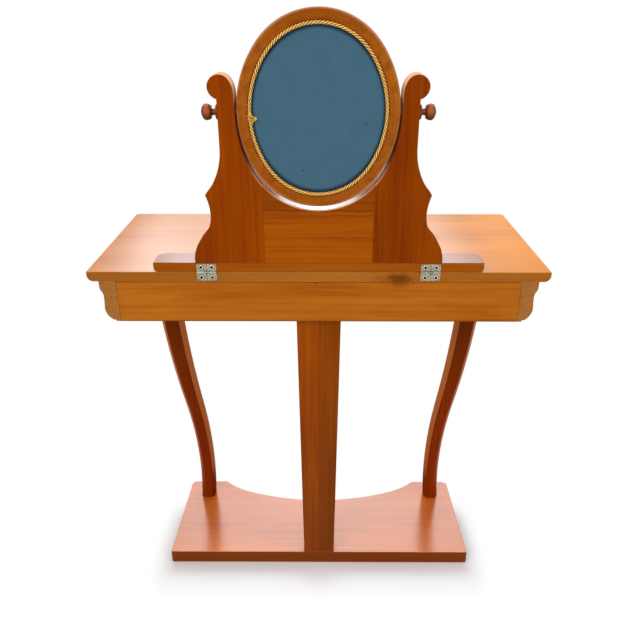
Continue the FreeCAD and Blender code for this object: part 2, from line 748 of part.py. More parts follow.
def make_drawer():
    """The frieze drawer; the moulding of its front turns the corners to meet the side mouldings."""
    top = "frieze_top - drawer_front_gap"
    run = new_body("FrontRunBody")
    profile = moulding_steps("frieze_front", -1, top)
    profile += [("front_back", "frieze_bottom"), ("front_back", top)]
    sketch = outline(run, "FrontProfile", "YZ_Plane", profile, ("0", "0", "-frieze_half"))
    pad(run, "FrontRun", sketch, "2 * frieze_half")
    ends = new_body("FrontEndsBody")
    right = moulding_steps("frieze_half", 1, top)
    left = moulding_steps("-frieze_half", -1, top)
    left_upwards = [left[-1][:2]]
    for lower, upper in zip(left[::-1], left[-2::-1]):
        arc = (upper[2], -upper[3]) if len(upper) > 2 else ()
        left_upwards[-1] = left_upwards[-1][:2] + arc
        left_upwards.append(upper[:2])
    sketch = outline(ends, "FrontEnds", "XZ_Plane", right + left_upwards, ("0", "0", "-front_back"))
    pad(ends, "FrontEndsRun", sketch, "moulding_thickness")
    front = doc.addObject("Part::Common", "FrontMoulded")
    front.Base = run
    front.Tool = ends

    floor_across = ("-drawer_inner_half - drawer_groove", "drawer_inner_half + drawer_groove")
    floor_along = ("front_back - drawer_groove", "drawer_rear")
    floor_up = ("drawer_floor", "drawer_floor_top")
    spare = "groove_clearance"
    groove = block("DrawerGroove", (f"{floor_across[0]} - {spare}", f"{floor_across[1]} + {spare}"),
                   (f"{floor_along[0]} - {spare}", f"{floor_along[1]} + cut_overrun"),
                   (f"{floor_up[0]} - {spare}", f"{floor_up[1]} + {spare}"))
    knob_bores = [knob_screw_bar(f"KnobBore{number}", across, "knob_screw_radius + pivot_clearance")
                  for number, across in enumerate(("-drawer_knob_spread / 2", "drawer_knob_spread / 2"))]
    housing = block("SideHousing", (f"drawer_inner_half - {spare}", f"drawer_half + {spare}"),
                    (f"front_back - side_housing - {spare}", "front_back + cut_overrun"),
                    (f"drawer_low - {spare}", f"drawer_high + {spare}"))
    housings = [housing, mirror("LeftSideHousing", housing)]
    keep("drawer_front", cut("DrawerFrontCut", front, [groove] + housings + knob_bores))
    side = block("DrawerSide", ("drawer_inner_half", "drawer_half"),
                 ("front_back - side_housing", "drawer_back_front"), ("drawer_low", "drawer_high"))
    tailed = join("DrawerSideTailed", [side] + dovetails("DrawerTail", "0"))
    grooved = cut("DrawerSideGrooved", tailed, [groove])
    keep("drawer_right_side", grooved)
    keep("drawer_left_side", mirror("DrawerLeftSide", grooved))
    back = block("DrawerBack", ("-drawer_half", "drawer_half"), ("drawer_back_front", "drawer_rear"),
                 ("drawer_floor_top", "drawer_high"))
    sockets = dovetails("DrawerSocket", spare)
    sockets += [mirror(f"LeftSocket{number}", socket) for number, socket in enumerate(sockets)]
    keep("drawer_back", cut("DrawerBackSocketed", back, sockets))
    keep("drawer_bottom", block("DrawerBottom", floor_across, floor_along, floor_up))

    knob = turned_knob("DrawerKnob")
    knob.Placement = FreeCAD.Placement(FreeCAD.Vector(), FreeCAD.Rotation(FreeCAD.Vector(0, 0, 1), -90))
    place_at(knob, ("drawer_knob_spread / 2", "drawer_knob_seat", "drawer_knob_height"))
    bored = cut("DrawerKnobBored", knob, [knob_bores[1]])
    keep("drawer_right_knob", bored)
    keep("drawer_left_knob", mirror("DrawerLeftKnob", bored))
    screws = []
    for number, across in enumerate(("-drawer_knob_spread / 2", "drawer_knob_spread / 2")):
        shank = knob_screw_bar(f"KnobScrewShank{number}", across, "knob_screw_radius")
        head = rod(f"KnobScrewHead{number}", "y", (across, "front_back", "drawer_knob_height"),
                   "knob_screw_head_height", "knob_screw_head_radius")
        screws.append(join(f"KnobScrew{number}", [shank, head]))
    keep("drawer_knob_screws", group("KnobScrews", screws))


def dovetails(name, spare):
    """The tails on the rear end of the right drawer side, or with some spare room their sockets."""
    tails = []
    for number in range(TAIL_COUNT):
        middle = f"drawer_floor_top + {number + 0.5} * (drawer_high - drawer_floor_top) / {TAIL_COUNT}"
        root = f"tail_width / 2 + {spare}"
        tip = f"tail_width / 2 + tail_flare + {spare}"
        steps = [
            ("drawer_back_front", f"{middle} - ({root})"),
            ("drawer_rear", f"{middle} - ({tip})"),
            ("drawer_rear", f"{middle} + {tip}"),
            ("drawer_back_front", f"{middle} + {root}"),
        ]
        body = new_body(f"{name}{number}Body")
        sketch = outline(body, f"{name}{number}Outline", "YZ_Plane", steps,
                         ("0", "0", f"drawer_inner_half - {spare}"))
        pad(body, f"{name}{number}", sketch, f"drawer_wall + 2 * {spare}")
        tails.append(body)
    return tails


def knob_screw_bar(name, across, radius):
    """The straight part of a screw that holds a drawer knob from inside the drawer."""
    return rod(name, "y", (across, "drawer_knob_seat - knob_screw_bite", "drawer_knob_height"),
               "front_back - drawer_knob_seat + knob_screw_bite", radius)


def turned_knob(name):
    """A turned knob along +X from its seat at the origin: collar, neck and domed head."""
    body = new_body(name + "Body")
    steps = [
        ("0", "0"),
        ("knob_length", "0", "knob_dome_radius", LEFT_TURN),
        ("dome_turn", "dome_turn_radius", "knob_shoulder_radius", LEFT_TURN),
        ("shoulder_middle", "knob_radius", "knob_back_round", LEFT_TURN),
        ("knob_neck_end", "knob_lip_radius"),
        ("knob_neck_end", "knob_neck_radius", "knob_cove_radius", RIGHT_TURN),
        ("knob_collar_length", "knob_neck_radius"),
        ("knob_collar_length", "knob_collar_radius", "knob_collar_round", LEFT_TURN),
        ("0", "knob_collar_radius"),
    ]
    sketch = outline(body, name + "Profile", "XZ_Plane", steps)
    turned = body.newObject("PartDesign::Revolution", name + "Turning")
    turned.Profile = sketch
    turned.ReferenceAxis = (sketch, ["H_Axis"])
    turned.Angle = 360
    doc.recompute()
    return body


def upright_steps():
    """The right upright from its foot round the scrolled head, before the oval opening is cut."""
    return [
        ("panel_half", "stand_top"),
        ("foot_half", "stand_top"),
        ("foot_half", "foot_height", "foot_round", LEFT_TURN),
        ("foot_turn", "foot_turn_height", "waist_round", RIGHT_TURN),
        ("waist_half", "waist_height", "cusp_rise_radius", RIGHT_TURN),
        ("cusp_half", "cusp_height", "neck_radius", RIGHT_TURN),
        ("neck_half", "neck_height"),
        ("neck_half", "notch_height", "head_radius", LEFT_TURN),
        ("head_half + head_radius", "head_height", "head_radius", LEFT_TURN),
        ("head_turn", "head_turn_height", "head_inner_radius", LEFT_TURN),
        ("cutout_half", "head_height - head_drop"),
        ("cutout_half", "pivot_height"),
        ("panel_half", "pivot_height"),
    ]


def make_stand():
    """The mirror stand: a board, two scrolled uprights and the panel between them, dowelled together."""
    board_body = new_body("StandBoardBody")
    board = rectangle(("-stand_width / 2", "stand_width / 2"),
                      ("rear_plane - stand_board_depth", "rear_plane"))
    pad(board_body, "StandBoard",
        outline(board_body, "StandBoardOutline", "XY_Plane", board, ("0", "0", "table_height")),
        "stand_board_thickness")
    soften(board_body, "StandBoardCorners", "Fillet", "stand_corner_radius",
           lambda edge: is_upright(edge) and lies_on(edge, "Y", "rear_plane - stand_board_depth"))
    end = value("stand_width") / 2
    soften(board_body, "StandBoardEnds", "Fillet", "stand_end_round",
           lambda edge: lies_on(edge, "Z", "table_height") and abs(abs(edge.CenterOfMass.x) - end) < SAME)
    soften(board_body, "StandBoardArris", "Fillet", "arris", lambda edge: lies_on(edge, "Z", "stand_top"))

    dowel_places = ("-upright_dowel_outer", "-upright_dowel_inner", "-panel_dowel_spread",
                    "panel_dowel_spread", "upright_dowel_inner", "upright_dowel_outer")
    bores = [stand_dowel(f"DowelBore{number}", across, "dowel_clearance", "dowel_end_gap")
             for number, across in enumerate(dowel_places)]
    dowels = [stand_dowel(f"Dowel{number}", across, "0", "0") for number, across in enumerate(dowel_places)]
    keep("stand_dowels", group("Dowels", dowels))
    pilots = hinge_screw_bores("StandPilot", "hinge_screw_rise")
    keep("stand_board", cut("StandBoardBored", board_body, bores + pilots))

    upright = new_body("UprightBody")
    sketch = outline(upright, "UprightOutline", "XZ_Plane", upright_steps(), ("0", "0", "-rear_plane"))
    pad(upright, "UprightBoard", sketch, "upright_thickness")
    cut_opening(upright, "UprightOpening")
    soften(upright, "UprightArris", "Chamfer", "arris",
           lambda edge: edge.BoundBox.YLength < SAME and not lies_on(edge, "Z", "stand_top")
           and not lies_on(edge, "X", "panel_half"))
    pivot_bore = rod("UprightPivotBore", "x", ("cutout_half - cut_overrun", "pivot_depth", "pivot_height"),
                     "neck_width + 2 * cut_overrun", "pivot_rod_radius + pivot_clearance")
    keep_pair("SIDE_upright", cut("UprightBored", upright, bores[4:] + [pivot_bore]))

    panel = new_body("PanelBody")
    blank = rectangle(("-panel_half", "panel_half"), ("stand_top", "pivot_height"))
    pad(panel, "PanelBoard", outline(panel, "PanelOutline", "XZ_Plane", blank, ("0", "0", "-rear_plane")),
        "upright_thickness")
    cut_opening(panel, "PanelOpening")
    soften(panel, "PanelArris", "Chamfer", "arris",
           lambda edge: edge.BoundBox.YLength < SAME and edge.BoundBox.ZLength > SHORT
           and edge.BoundBox.XLength > SHORT)
    keep("stand_panel", cut("PanelBored", panel, bores[2:4]))


def stand_dowel(name, across, spare_radius, spare_length):
    """An upright dowel through the joint between the stand's board and what stands on it."""
    low = f"stand_top - dowel_depth - {spare_length}"
    return rod(name, "z", (across, "pivot_depth", low), f"2 * dowel_depth + 2 * {spare_length}",
               f"dowel_radius + {spare_radius}")


def cut_opening(body, name):
    """Cut the oval opening in which the mirror turns."""
    steps = oval_steps("cutout_end", "cutout_side", "cutout_turn_across", "cutout_turn_up")
    sketch = outline(body, name + "Oval", "XZ_Plane", steps, ("0", "pivot_height", "-rear_plane"))
    pocket(body, name, sketch, "upright_thickness", True)


def oval_steps(end, side, across, up):
    """An oval of two end arcs and two side arcs that meet at the four points (across, up)."""
    return [
        (f"{across}", f"{up}", end, LEFT_TURN),
        (f"-({across})", f"{up}", side, LEFT_TURN),
        (f"-({across})", f"-({up})", end, LEFT_TURN),
        (f"{across}", f"-({up})", side, LEFT_TURN),
    ]


def oval_sketch(body, name, inset, depth):
    """The mirror's oval, drawn in by an inset: the four arcs keep their centres."""
    end = f"oval_end - ({inset})"
    steps = oval_steps(end, f"oval_side - ({inset})", f"({end}) * oval_turn_across",
                       f"oval_rise + ({end}) * oval_turn_up")
    return outline(body, name, "XZ_Plane", steps, ("0", "pivot_height", f"-({depth})"))


def make_mirror():
    """The oval frame with its rabbet, the bevelled glass, the backing and the cord round it."""
    frame = new_body("FrameBody")
    pad(frame, "FrameBlank", oval_sketch(frame, "FrameOval", "0", "frame_rear"), "frame_thickness")
    soften(frame, "FrameFrontRound", "Fillet", "frame_front_round",
           lambda edge: lies_on(edge, "Y", "frame_front"))
    soften(frame, "FrameRearRound", "Fillet", "frame_rear_round",
           lambda edge: lies_on(edge, "Y", "frame_rear"))
    sight = oval_sketch(frame, "SightOval", "frame_band + sight_lip", "frame_front")
    pocket(frame, "SightOpening", sight, "frame_thickness", False)
    rabbet = oval_sketch(frame, "RabbetOval", "frame_band", "frame_rear")
    pocket(frame, "Rabbet", rabbet, "frame_thickness - lip_thickness", True)
    sight_reach = value("mirror_half - frame_band - sight_lip") + SAME
    soften(frame, "SightChamfer", "Chamfer", "sight_chamfer",
           lambda edge: lies_on(edge, "Y", "frame_front") and edge.BoundBox.XMax < sight_reach)
    bores = [pivot_bar(f"FrameBore{letter}", mirrored, "pivot_clearance")
             for letter, mirrored in (("R", False), ("L", True))]
    keep("mirror_frame", cut("FrameBored", frame, bores))

    seat = "frame_band + glass_clearance"
    glass = new_body("GlassBody")
    pad(glass, "GlassPlate", oval_sketch(glass, "GlassOval", seat, "backing_front"), "glass_thickness")
    soften(glass, "GlassBevel", "Chamfer", "glass_bevel", lambda edge: lies_on(edge, "Y", "glass_front"))
    keep("mirror_glass", glass)
    backing = new_body("BackingBody")
    pad(backing, "BackingPlate", oval_sketch(backing, "BackingOval", seat, "backing_rear"),
        "backing_thickness")
    keep("mirror_backing", backing)

    cord = new_body("CordBody")
    path = oval_sketch(cord, "CordPath", "cord_inset", "cord_depth")
    section = cord.newObject("Sketcher::SketchObject", "CordSection")
    section.AttachmentSupport = [(path, "Edge1")]
    section.MapMode = "NormalToEdge"
    section.addGeometry(Part.Circle(FreeCAD.Vector(), FreeCAD.Vector(0, 0, 1), value("cord_radius")))
    section.addConstraint(Sketcher.Constraint("Coincident", 0, 3, -1, 1))
    number = section.addConstraint(Sketcher.Constraint("Radius", 0, value("cord_radius")))
    section.setExpression(f"Constraints[{number}]", bind("cord_radius"))
    doc.recompute()
    tube = cord.newObject("PartDesign::AdditivePipe", "CordTube")
    tube.Profile = section
    tube.Spine = (path, ["Edge1", "Edge2", "Edge3", "Edge4"])
    doc.recompute()
    keep("gold_cord", cord)
    make_knot()


def make_knot():
    """The knot that ends the cord, with a short tail, lying on the backing beside the cord."""
    bead = doc.addObject("Part::Ellipsoid", "KnotBead")
    bead.setExpression("Radius1", bind("knot_length"))
    bead.setExpression("Radius2", bind("knot_radius"))
    bead.setExpression("Radius3", bind("knot_radius"))
    place_at(bead, ("knot_across", "knot_depth", "knot_height"))
    tail = doc.addObject("Part::Cone", "KnotTail")
    tail.setExpression("Radius1", bind("knot_tail_radius"))
    tail.setExpression("Radius2", bind("knot_tail_radius / 2"))
    tail.setExpression("Height", bind("knot_length + knot_tail_length"))
    place_at(tail, ("knot_across - knot_tail_radius", "knot_depth",
                    "knot_height - knot_length - knot_tail_length"))
    keep("cord_knot", join("Knot", [bead, tail]))


def pivot_bar(name, mirrored, spare):
    """The round bar of a mirror pivot, from inside the frame to inside the knob."""
    length = "knob_seat + pivot_rod_reach - pivot_inner_end"
    start = f"-pivot_inner_end - ({length})" if mirrored else "pivot_inner_end"
    return rod(name, "x", (start, "pivot_depth", "pivot_height"), length, f"pivot_rod_radius + {spare}")


def make_pivots():
    """Pivot rods, their washers and the clamping knobs."""
    keep_pair("SIDE_pivot_rod", pivot_bar("PivotRod", False, "0"))
    washer = rod("WasherDisc", "x", ("washer_start", "pivot_depth", "pivot_height"),
                 "washer_end - washer_start", "washer_radius")
    keep_pair("SIDE_pivot_washer", cut("Washer", washer, [pivot_bar("WasherBore", False, "pivot_clearance")]))
    knob = turned_knob("MirrorKnob")
    place_at(knob, ("knob_seat", "pivot_depth", "pivot_height"))
    keep_pair("SIDE_mirror_knob", cut("MirrorKnobBored", knob, [pivot_bar("KnobRodBore", False,
                                                                          "pivot_clearance")]))


def hinge_screw_bar(name, across, rise, radius, length):
    """A hinge screw's shank, running forwards from the rear plane."""
    return rod(name, "y", (across, f"leaf_rear - ({length})", f"table_height + {rise}"), length, radius)


def hinge_screw_places():
    """The middles of the four screws of one row: two on each hinge."""
    return [f"{side} * hinge_middle + {shift} * hinge_screw_spacing / 2"
            for side in (-1, 1) for shift in (-1, 1)]


def hinge_screw_bores(name, rise):
    return [hinge_screw_bar(f"{name}{number}", across, rise, "hinge_screw_radius + hinge_screw_clearance",
                            "hinge_screw_length + hinge_screw_clearance")
            for number, across in enumerate(hinge_screw_places())]


def hinge_screws(name, rise):
    """One row of countersunk screws, each a head and a shank."""
    screws = []
    for number, across in enumerate(hinge_screw_places()):
        shank = hinge_screw_bar(f"{name}Shank{number}", across, rise, "hinge_screw_radius",
                                "hinge_screw_length")
        head = hinge_screw_bar(f"{name}Head{number}", across, rise, "hinge_screw_head_radius",
                               "hinge_screw_head_height")
        screws.append(join(f"{name}{number}", [shank, head]))
    return group(name + "Row", screws)


def leaf_plate(name, side):
    """The right hinge's flat plate with two rounded corners; side is 1 above the axis and -1 below."""
    turn = LEFT_TURN if side > 0 else RIGHT_TURN
    start, end = "hinge_start", "hinge_start + hinge_length"
    near = f"table_height + {side} * knuckle_clearance"
    shoulder = f"table_height + {side} * (leaf_height - leaf_corner)"
    far = f"table_height + {side} * leaf_height"
    steps = [
        (start, near),
        (end, near),
        (end, shoulder, "leaf_corner", turn),
        (f"{end} - leaf_corner", far),
        (f"{start} + leaf_corner", far, "leaf_corner", turn),
        (start, shoulder),
    ]
    body = new_body(name + "PlateBody")
    sketch = outline(body, name + "PlateOutline", "XZ_Plane", steps, ("0", "0", "-leaf_rear"))
    pad(body, name + "Plate", sketch, "leaf_thickness")
    return body


def hinge_leaf(name, side, own_knuckles, other_knuckles):
    """The right hinge's leaf: a plate and knuckles, clear of the other leaf's knuckles, with its bores."""
    rise = f"{side} * hinge_screw_rise"
    plate = leaf_plate(name, side)

    def knuckle(label, number, radius):
        start = (f"hinge_start + {number} * knuckle_length", "hinge_axis_depth", "table_height")
        return rod(f"{name}{label}{number}", "x", start, "knuckle_length", radius)

    rooms = [knuckle("Room", number, "knuckle_radius + knuckle_clearance") for number in other_knuckles]
    trimmed = cut(name + "Trimmed", plate, rooms)
    leaf = join(name + "Leaf", [trimmed] + [knuckle("Knuckle", n, "knuckle_radius") for n in own_knuckles])
    bore = rod(name + "PinBore", "x", ("hinge_start - cut_overrun", "hinge_axis_depth", "table_height"),
               "hinge_length + 2 * cut_overrun", "hinge_pin_radius + hinge_pin_clearance")
    holes = []
    for number, place in enumerate(hinge_screw_places()[2:]):
        spare = "hinge_screw_clearance"
        holes.append(hinge_screw_bar(f"{name}Hole{number}", place, rise, f"hinge_screw_radius + {spare}",
                                     "hinge_screw_length"))
        holes.append(hinge_screw_bar(f"{name}Sink{number}", place, rise,
                                     f"hinge_screw_head_radius + {spare}",
                                     f"hinge_screw_head_height + {spare}"))
    return cut(name + "Bored", leaf, [bore] + holes)


def make_hinges():
    """Two butt hinges, screwed to the rear edges of the top and of the stand's board."""
    keep_pair("SIDE_hinge_table_leaf", hinge_leaf("TableLeaf", -1, (0, 2), (1,)))
    keep_pair("SIDE_hinge_stand_leaf", hinge_leaf("StandLeaf", 1, (1,), (0, 2)))
    keep_pair("SIDE_hinge_pin", rod("HingePin", "x", ("hinge_start", "hinge_axis_depth", "table_height"),
                                    "hinge_length", "hinge_pin_radius"))
    keep("hinge_table_screws", hinge_screws("TableScrew", "-hinge_screw_rise"))
    keep("hinge_stand_screws", hinge_screws("StandScrew", "hinge_screw_rise"))


def check_document():
    """Stop if any object failed or any finished piece is missing or broken."""
    doc.recompute()
    failed = [thing.Name for thing in doc.Objects if {"Invalid", "Error"} & set(thing.State)]
    for label, piece in pieces.items():
        shape = piece.Shape
        if shape.isNull() or not shape.isValid() or not shape.Solids:
            failed.append(label)
    if failed:
        raise ValueError("failed: " + ", ".join(failed))


def write_pieces():
    os.makedirs("parts", exist_ok=True)
    for label, piece in pieces.items():
        piece.Shape.exportStep(os.path.join("parts", label + ".step"))


make_table_top()
make_base()
make_post()
make_legs()
make_frieze()
make_drawer()
make_stand()
make_mirror()
make_pivots()
make_hinges()
check_document()
write_pieces()
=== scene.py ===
"""Looks of a dressing table: varnished boards, a gold cord, nickel hinges and a plain studio stage.

Metres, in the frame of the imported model: +Z up, the sitter's side towards -Y, the mirror stand's back
towards +Y.
"""
import itertools
import math

import bpy
from bpy.props import FloatProperty, FloatVectorProperty, IntProperty, PointerProperty
from bpy.types import Operator, Panel, PropertyGroup
from mathutils import Euler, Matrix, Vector


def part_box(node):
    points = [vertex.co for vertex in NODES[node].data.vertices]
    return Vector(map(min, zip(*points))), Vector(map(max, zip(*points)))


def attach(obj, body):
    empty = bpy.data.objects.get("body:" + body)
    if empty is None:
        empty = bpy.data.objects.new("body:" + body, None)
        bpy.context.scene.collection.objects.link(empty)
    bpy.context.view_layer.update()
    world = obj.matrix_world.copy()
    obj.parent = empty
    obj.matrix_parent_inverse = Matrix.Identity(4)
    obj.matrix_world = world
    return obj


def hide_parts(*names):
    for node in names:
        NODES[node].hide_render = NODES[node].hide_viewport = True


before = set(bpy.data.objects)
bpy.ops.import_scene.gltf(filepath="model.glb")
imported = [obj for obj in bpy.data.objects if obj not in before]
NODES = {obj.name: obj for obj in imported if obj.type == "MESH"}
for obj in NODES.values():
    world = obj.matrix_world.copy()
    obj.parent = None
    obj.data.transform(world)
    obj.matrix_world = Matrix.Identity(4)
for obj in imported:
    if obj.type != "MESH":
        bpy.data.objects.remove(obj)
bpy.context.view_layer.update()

bl_info = {
    "name": "Dressing Table",
    "version": (1, 0, 0),
    "blender": (4, 5, 0),
    "location": "View3D > Sidebar > Dressing Table",
    "description": "Finishes the boards, cord, hinges and mirror of a dressing table and lights it",
    "category": "Object",
}

SIDES = ("left", "right")

# Turns that lay a board's grain along the texture's X axis.
GRAIN_ALONG_X = (0.0, 0.0, 0.0)
GRAIN_ALONG_Y = (0.0, 0.0, math.radians(-90))
GRAIN_ALONG_Z = (0.0, math.radians(90), 0.0)

# Waves to the metre of each layer of a board's figure, along the grain and twice across it.
RING_DRIFT = (1.6, 9.0, 9.0)
RING_RIPPLE = (4.0, 45.0, 45.0)
FIBRES = (5.0, 420.0, 420.0)
CLOUDS = (3.0, 14.0, 14.0)
STREAKS = (2.0, 95.0, 95.0)
PORES = (70.0, 2200.0, 2200.0)
# How far drift and ripple carry a growth ring off its circle.
DRIFT_REACH = 0.05
RIPPLE_REACH = 0.012
# Waves to the metre of the speckle on sawn ends, of ragged marks and of laid paper, on the model's axes.
SAWN_SPECKLE = (520.0, 520.0, 360.0)
RAGGED_MARK = (70.0, 300.0, 300.0)
LAID_PAPER = (900.0, 900.0, 120.0)
# About how far from its centre the mirror frame's wood is bent, which turns an angle into a length.
BEND_RADIUS = 0.14
# How far polish is rubbed off at an edge, and the wood's own gloss on the base, the legs and the uprights.
WORN_REACH = 0.0020
LOW_SHINE = 0.06
# How much a face turns towards Z where a level board's edge begins and where it is complete, and towards Y
# for an upright board.
LEVEL_EDGE = (0.6, 0.2)
UPRIGHT_EDGE = (0.7, 0.3)

# Where a dark knot in the wood lies across the rear edge of the top and the rail below it.
WOOD_KNOT_ACROSS = -0.156
# Where the panel's colour changes, above its lower end, and its dark streaks: how far each lies above that
# change, half its width, how much it sways and its strength.
PANEL_CHANGE = 0.103
PANEL_STREAKS = ((0.000, 0.0032, 0.012, 0.60), (-0.009, 0.0018, 0.016, 0.40), (0.016, 0.0022, 0.014, 0.35))
# Two dark specks on the paper behind the mirror, across and up.
PAPER_SPECKS = ((-0.083, 1.0616), (0.0276, 0.9792))

# What the geometry trees keep for the finishes, and read from their points.
STRAND_ALONG = "strand_along"
STRAND_AROUND = "strand_around"
STRAND_REACH = "strand_reach"
PLACE_TURN = "place_turn"
# Threads in a strand: starts round it, and windings to the metre.
THREAD_STARTS = 7.0
THREAD_WINDINGS = 420.0
# The cord's knot: its tight corner, from the inner and the upper end of its solid, how far its loop stands
# proud, and how far a wrap and the bead reach across and out.
KNOT_CORNER = 0.0035
KNOT_DROP = 0.0065
KNOT_PROUD = Vector((0.0, 0.0014, 0.0))
KNOT_WRAP_REACH = (0.0043, 0.0040)
KNOT_BEAD_REACH = (0.0019, 0.0017)
# Heights of its two wraps and of the bead's two turns above that corner.
KNOT_WRAP_RISES = (0.0042, -0.0012)
KNOT_BEAD_RISES = (0.0013, -0.0011)
# Its threads: turns of the lay, rings along each strand, lay radius and strand radius.
KNOT_LOOP_LAY = (6.0, 60, 0.0009, 0.0010)
KNOT_WRAP_LAY = (5.0, 40, 0.0007, 0.0008)
KNOT_BEAD_LAY = (4.0, 30, 0.0007, 0.0008)
# A Mix node's sockets for colours, which follow those for numbers and vectors.
MIX_INPUTS = (6, 7)
MIX_OUTPUT = 2


def colour(name, description, default):
    """A colour that a user can pick, in linear light."""
    return FloatVectorProperty(name=name, description=description, default=default, size=3, min=0.0,
                               max=1.0, subtype="COLOR")


def length(name, description, default):
    """A size in metres that a user can change."""
    return FloatProperty(name=name, description=description, default=default, min=0.0, precision=5,
                         unit="LENGTH")


def count(name, description, default, least):
    """A whole number that a user can change."""
    return IntProperty(name=name, description=description, default=default, min=least)


class WoodColours(PropertyGroup):
    """Early and late wood of each kind of board."""

    top_pale: colour("Top, pale", "Early wood of the table top", (0.64, 0.235, 0.034))
    top_deep: colour("Top, deep", "Late wood of the table top", (0.42, 0.122, 0.010))
    base_pale: colour("Base, pale", "Early wood of the base board", (0.70, 0.176, 0.024))
    base_deep: colour("Base, deep", "Late wood of the base board", (0.53, 0.115, 0.014))
    rail_pale: colour("Rail, pale", "Early wood of the rear rail", (0.51, 0.164, 0.013))
    rail_deep: colour("Rail, deep", "Late wood of the rear rail", (0.31, 0.062, 0.001))
    panel_pale: colour("Panel, pale", "Early wood of the stand's panel", (0.40, 0.090, 0.002))
    panel_deep: colour("Panel, deep", "Late wood of the stand's panel", (0.215, 0.032, 0.001))
    stand_pale: colour("Stand board, pale", "Early wood of the stand's board", (0.37, 0.092, 0.004))
    stand_deep: colour("Stand board, deep", "Late wood of the stand's board", (0.24, 0.045, 0.001))
    post_pale: colour("Post, pale", "Early wood of the rear post", (0.33, 0.070, 0.002))
    post_deep: colour("Post, deep", "Late wood of the rear post", (0.19, 0.029, 0.001))
    upright_pale: colour("Upright, pale", "Early wood of the uprights", (0.33, 0.060, 0.001))
    upright_deep: colour("Upright, deep", "Late wood of the uprights", (0.18, 0.023, 0.001))
    leg_pale: colour("Leg, pale", "Early wood of the bent legs", (0.27, 0.033, 0.001))
    leg_deep: colour("Leg, deep", "Late wood of the bent legs", (0.14, 0.012, 0.001))
    # Painted light on the legs' chamfers.
    leg_chamfer_light: colour("Leg, worn", "Rubbed chamfers of the bent legs", (0.47, 0.140, 0.036))
    # Painted highlight on the scroll heads, the uprights' hollows, the panel's top edge and the frame's outer
    # edge.
    rim: colour("Rim", "Pale rubbed rims of the scroll heads and of the panel", (0.74, 0.43, 0.25))
    mirror_pale: colour("Frame, pale", "Early wood of the mirror frame", (0.42, 0.125, 0.012))
    mirror_deep: colour("Frame, deep", "Late wood of the mirror frame", (0.25, 0.050, 0.002))
    knob_pale: colour("Knob, pale", "Early wood of the turned knobs", (0.44, 0.105, 0.034))
    knob_deep: colour("Knob, deep", "Late wood of the turned knobs", (0.30, 0.056, 0.014))
    plain_pale: colour("Plain, pale", "Early wood of the unvarnished boards", (0.60, 0.40, 0.20))
    plain_deep: colour("Plain, deep", "Late wood of the unvarnished boards", (0.42, 0.25, 0.11))
    end_grain: colour("End grain", "Open pores on a board's sawn end", (0.43, 0.180, 0.045))
    # Also painted shade on edges, under the frieze, at the post's foot, on knobs, by the mirror and by the
    # cord.
    heartwood: colour("Heartwood", "Dark wood of knots, streaks and glued seams", (0.13, 0.022, 0.002))


class TrimLooks(PropertyGroup):
    """Colours of what isn't wood."""

    cord_gold: colour("Cord", "Lit threads of the cord", (1.00, 0.60, 0.160))
    cord_shade: colour("Cord, shaded", "Cord between its threads", (0.78, 0.38, 0.070))
    # Painted shade in the clefts between the strands.
    cord_cleft_shade: colour("Cord, crevice", "Dark clefts between the strands", (0.055, 0.020, 0.001))
    paper_blue: colour("Paper", "Paper over the mirror's back", (0.050, 0.120, 0.176))
    nickel: colour("Nickel", "Rubbed plating of the hinges", (0.46, 0.435, 0.33))
    rubbed_nickel: colour("Rubbed nickel", "Bright plating on the rings of the hinges", (0.92, 0.88, 0.77))
    tarnish: colour("Tarnish", "Dull plating in patches on the hinges", (0.26, 0.24, 0.17))
    black_tarnish: colour("Black tarnish", "Dirt in the hollows of the hinges", (0.075, 0.045, 0.020))
    old_iron: colour("Old iron", "Blackened screws and nails", (0.030, 0.025, 0.020))
    steel: colour("Steel", "Plain steel of screws, pins and rods", (0.32, 0.31, 0.29))
    silver: colour("Silver", "Silvering behind the glass", (0.86, 0.88, 0.88))
    dull_silver: colour("Dull silver", "Spots where the silvering has gone", (0.30, 0.28, 0.24))


class CordSizes(PropertyGroup):
    """The twisted cord round the mirror's back."""

    strands: count("Strands", "Strands laid up in the cord", 3, 2)
    turns: count("Turns", "Full turns of the lay round the oval", 42, 8)
    steps_per_turn: count("Steps", "Rings of each strand in a turn", 16, 6)
    strand_sides: count("Sides", "Sides of a strand's section", 14, 5)
    corners: count("Corners", "Points that the cord's route is drawn on", 24, 8)
    shoulder: length("Shoulder", "Half the oval's width less the radius of its ends", 0.0115)
    lay_radius: length("Lay radius", "From the cord's middle to a strand's middle", 0.00172)
    strand_radius: length("Strand radius", "Half a strand's thickness", 0.00138)


class HingeSizes(PropertyGroup):
    """Screws and bosses on the butt hinges."""

    screw_spacing: length("Screw spacing", "Between the two screws of a leaf", 0.021)
    head_radius: length("Head radius", "Half of a screw head's width", 0.0026)
    head_height: length("Head height", "Depth of a screw's countersunk head", 0.0011)
    shank_radius: length("Shank radius", "Half of a screw's shank", 0.0014)
    shank_length: length("Shank length", "From under the head to the point", 0.0125)
    slot_width: length("Slot width", "Width of a screw's slot", 0.0008)
    slot_depth: length("Slot depth", "Depth of a screw's slot", 0.0007)
    boss_radius: length("Boss radius", "Middle of the raised ring round a screw", 0.0035)
    boss_bead: length("Boss bead", "Half the thickness of that ring", 0.0009)
    petal_long: length("Petal length", "Half the length of a raised petal", 0.0040)
    petal_wide: length("Petal width", "Half the width of a raised petal", 0.0017)
    petal_high: length("Petal height", "How far a petal stands out of its leaf", 0.0009)
    petal_place: length("Petal place", "From the hinge's middle to a petal's, each way", 0.0052)


